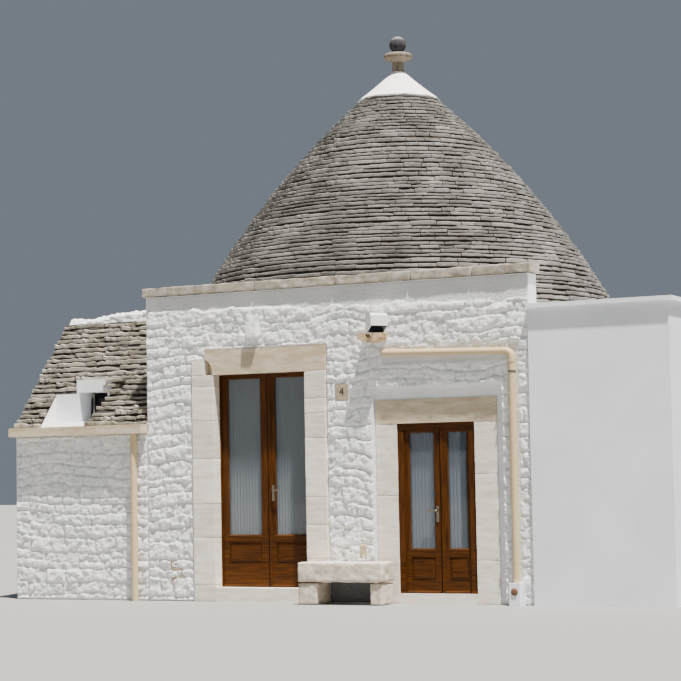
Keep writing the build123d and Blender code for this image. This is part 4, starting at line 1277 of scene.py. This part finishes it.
# %% Lamp glass
lamp_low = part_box("lamp")[0]
lamp_turn = math.radians(52)
lamp_depth, glass_half = 0.15, 0.1
facing = Vector((math.sin(lamp_turn), -math.cos(lamp_turn), 0))
sideways = Vector((math.cos(lamp_turn), math.sin(lamp_turn), 0))
lamp_face = Vector((front_left + 3.33, front - 0.19, lamp_low.z))
lamp_back = lamp_face - facing * lamp_depth
glass_line = ((0.045, 0.010), (0.148, 0.0787))
thick = Vector((0, 0, -0.004)) + facing * 0.002
corners = [
    lamp_back + facing * depth + Vector((0, 0, height)) + sideways * side + offset
    for offset in (Vector((0, 0, 0)), thick)
    for depth, height in glass_line
    for side in (-glass_half, glass_half)
]
glass_faces = [(0, 1, 3, 2), (4, 6, 7, 5), (0, 4, 5, 1), (2, 3, 7, 6), (0, 2, 6, 4), (1, 5, 7, 3)]
lay_piece("lamp_glass", corners, glass_faces, dark_glass, smooth=False)

# %% [markdown]
# The number tile carries a plain numeral, painted on. A text object gives it in Blender's own
# letters, thin enough to read as paint.

# %% Numeral
numeral_height, paint_thickness, paint_gap = 0.13, 0.0015, 0.001
numeral_curve = bpy.data.curves.new("tile_numeral", "FONT")
numeral_curve.body = "4"
numeral_curve.size = numeral_height
numeral_curve.align_x = "CENTER"
numeral_curve.align_y = "CENTER"
numeral_curve.extrude = paint_thickness
numeral_curve.materials.append(black_enamel)
numeral = new_object("tile_numeral", numeral_curve)
tile_middle = (tile_low + tile_high) / 2
numeral.location = (tile_middle.x, tile_low.y - paint_gap, tile_middle.z)
numeral.rotation_euler = (math.radians(90), 0, 0)
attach(numeral, "house")
print("numeral", numeral_curve.body)

# %% [markdown]
# Two round things are left: the plug on the foot of the rainwater pipe and the upright bar in the
# alcove's window. Both are turned from an outline, as the core of the cone is.

# %% Plug and bar
plug_radius, plug_height = 0.042, 0.159
plug_middle = Vector(((foot_low.x + foot_high.x) / 2, foot_low.y, plug_height))
plug_back, plug_edge, plug_face, plug_flat = -0.004, 0.008, 0.012, plug_radius * 0.8
plug_outline = (
    (0, plug_back), (plug_radius, plug_back), (plug_radius, plug_edge), (plug_flat, plug_face),
    (0, plug_face),
)
plug_points, plug_faces = turned(plug_outline, 24, plug_middle, east, -north)
lay_piece("pipe_foot_plug", plug_points, plug_faces, brown_plug)

bar_radius, bar_foot, bar_head = 0.011, 2.25, 2.64
bar_from_front_left, bar_behind_face = 1.10, 0.14
bar_middle = Vector((front_left - bar_from_front_left, window_low.y + bar_behind_face, bar_foot))
bar_outline = ((0, 0.0), (bar_radius, 0.0), (bar_radius, bar_head - bar_foot), (0, bar_head - bar_foot))
bar_points, bar_faces = turned(bar_outline, 12, bar_middle, east, upward_axis)
lay_piece("alcove_window_bar", bar_points, bar_faces, dull_zinc)

# %% [markdown]
# The floor is a plain pale studio floor and isn't part of the house.

# %% Floor
floor_material, tree, shader = new_material("pale_floor")
shader.inputs["Base Color"].default_value = hex_colour("#8F8E8B")
shader.inputs["Roughness"].default_value = 0.9
floor_size = 90
floor_mesh = bpy.data.meshes.new("studio_floor")
floor_corners = [(x * floor_size, y * floor_size, 0) for x, y in ((-1, -1), (1, -1), (1, 1), (-1, 1))]
floor_mesh.from_pydata(floor_corners, [], [(0, 1, 2, 3)])
floor = new_object("studio_floor", floor_mesh)
floor.data.materials.append(floor_material)
print("floor", 2 * floor_size, "m wide")
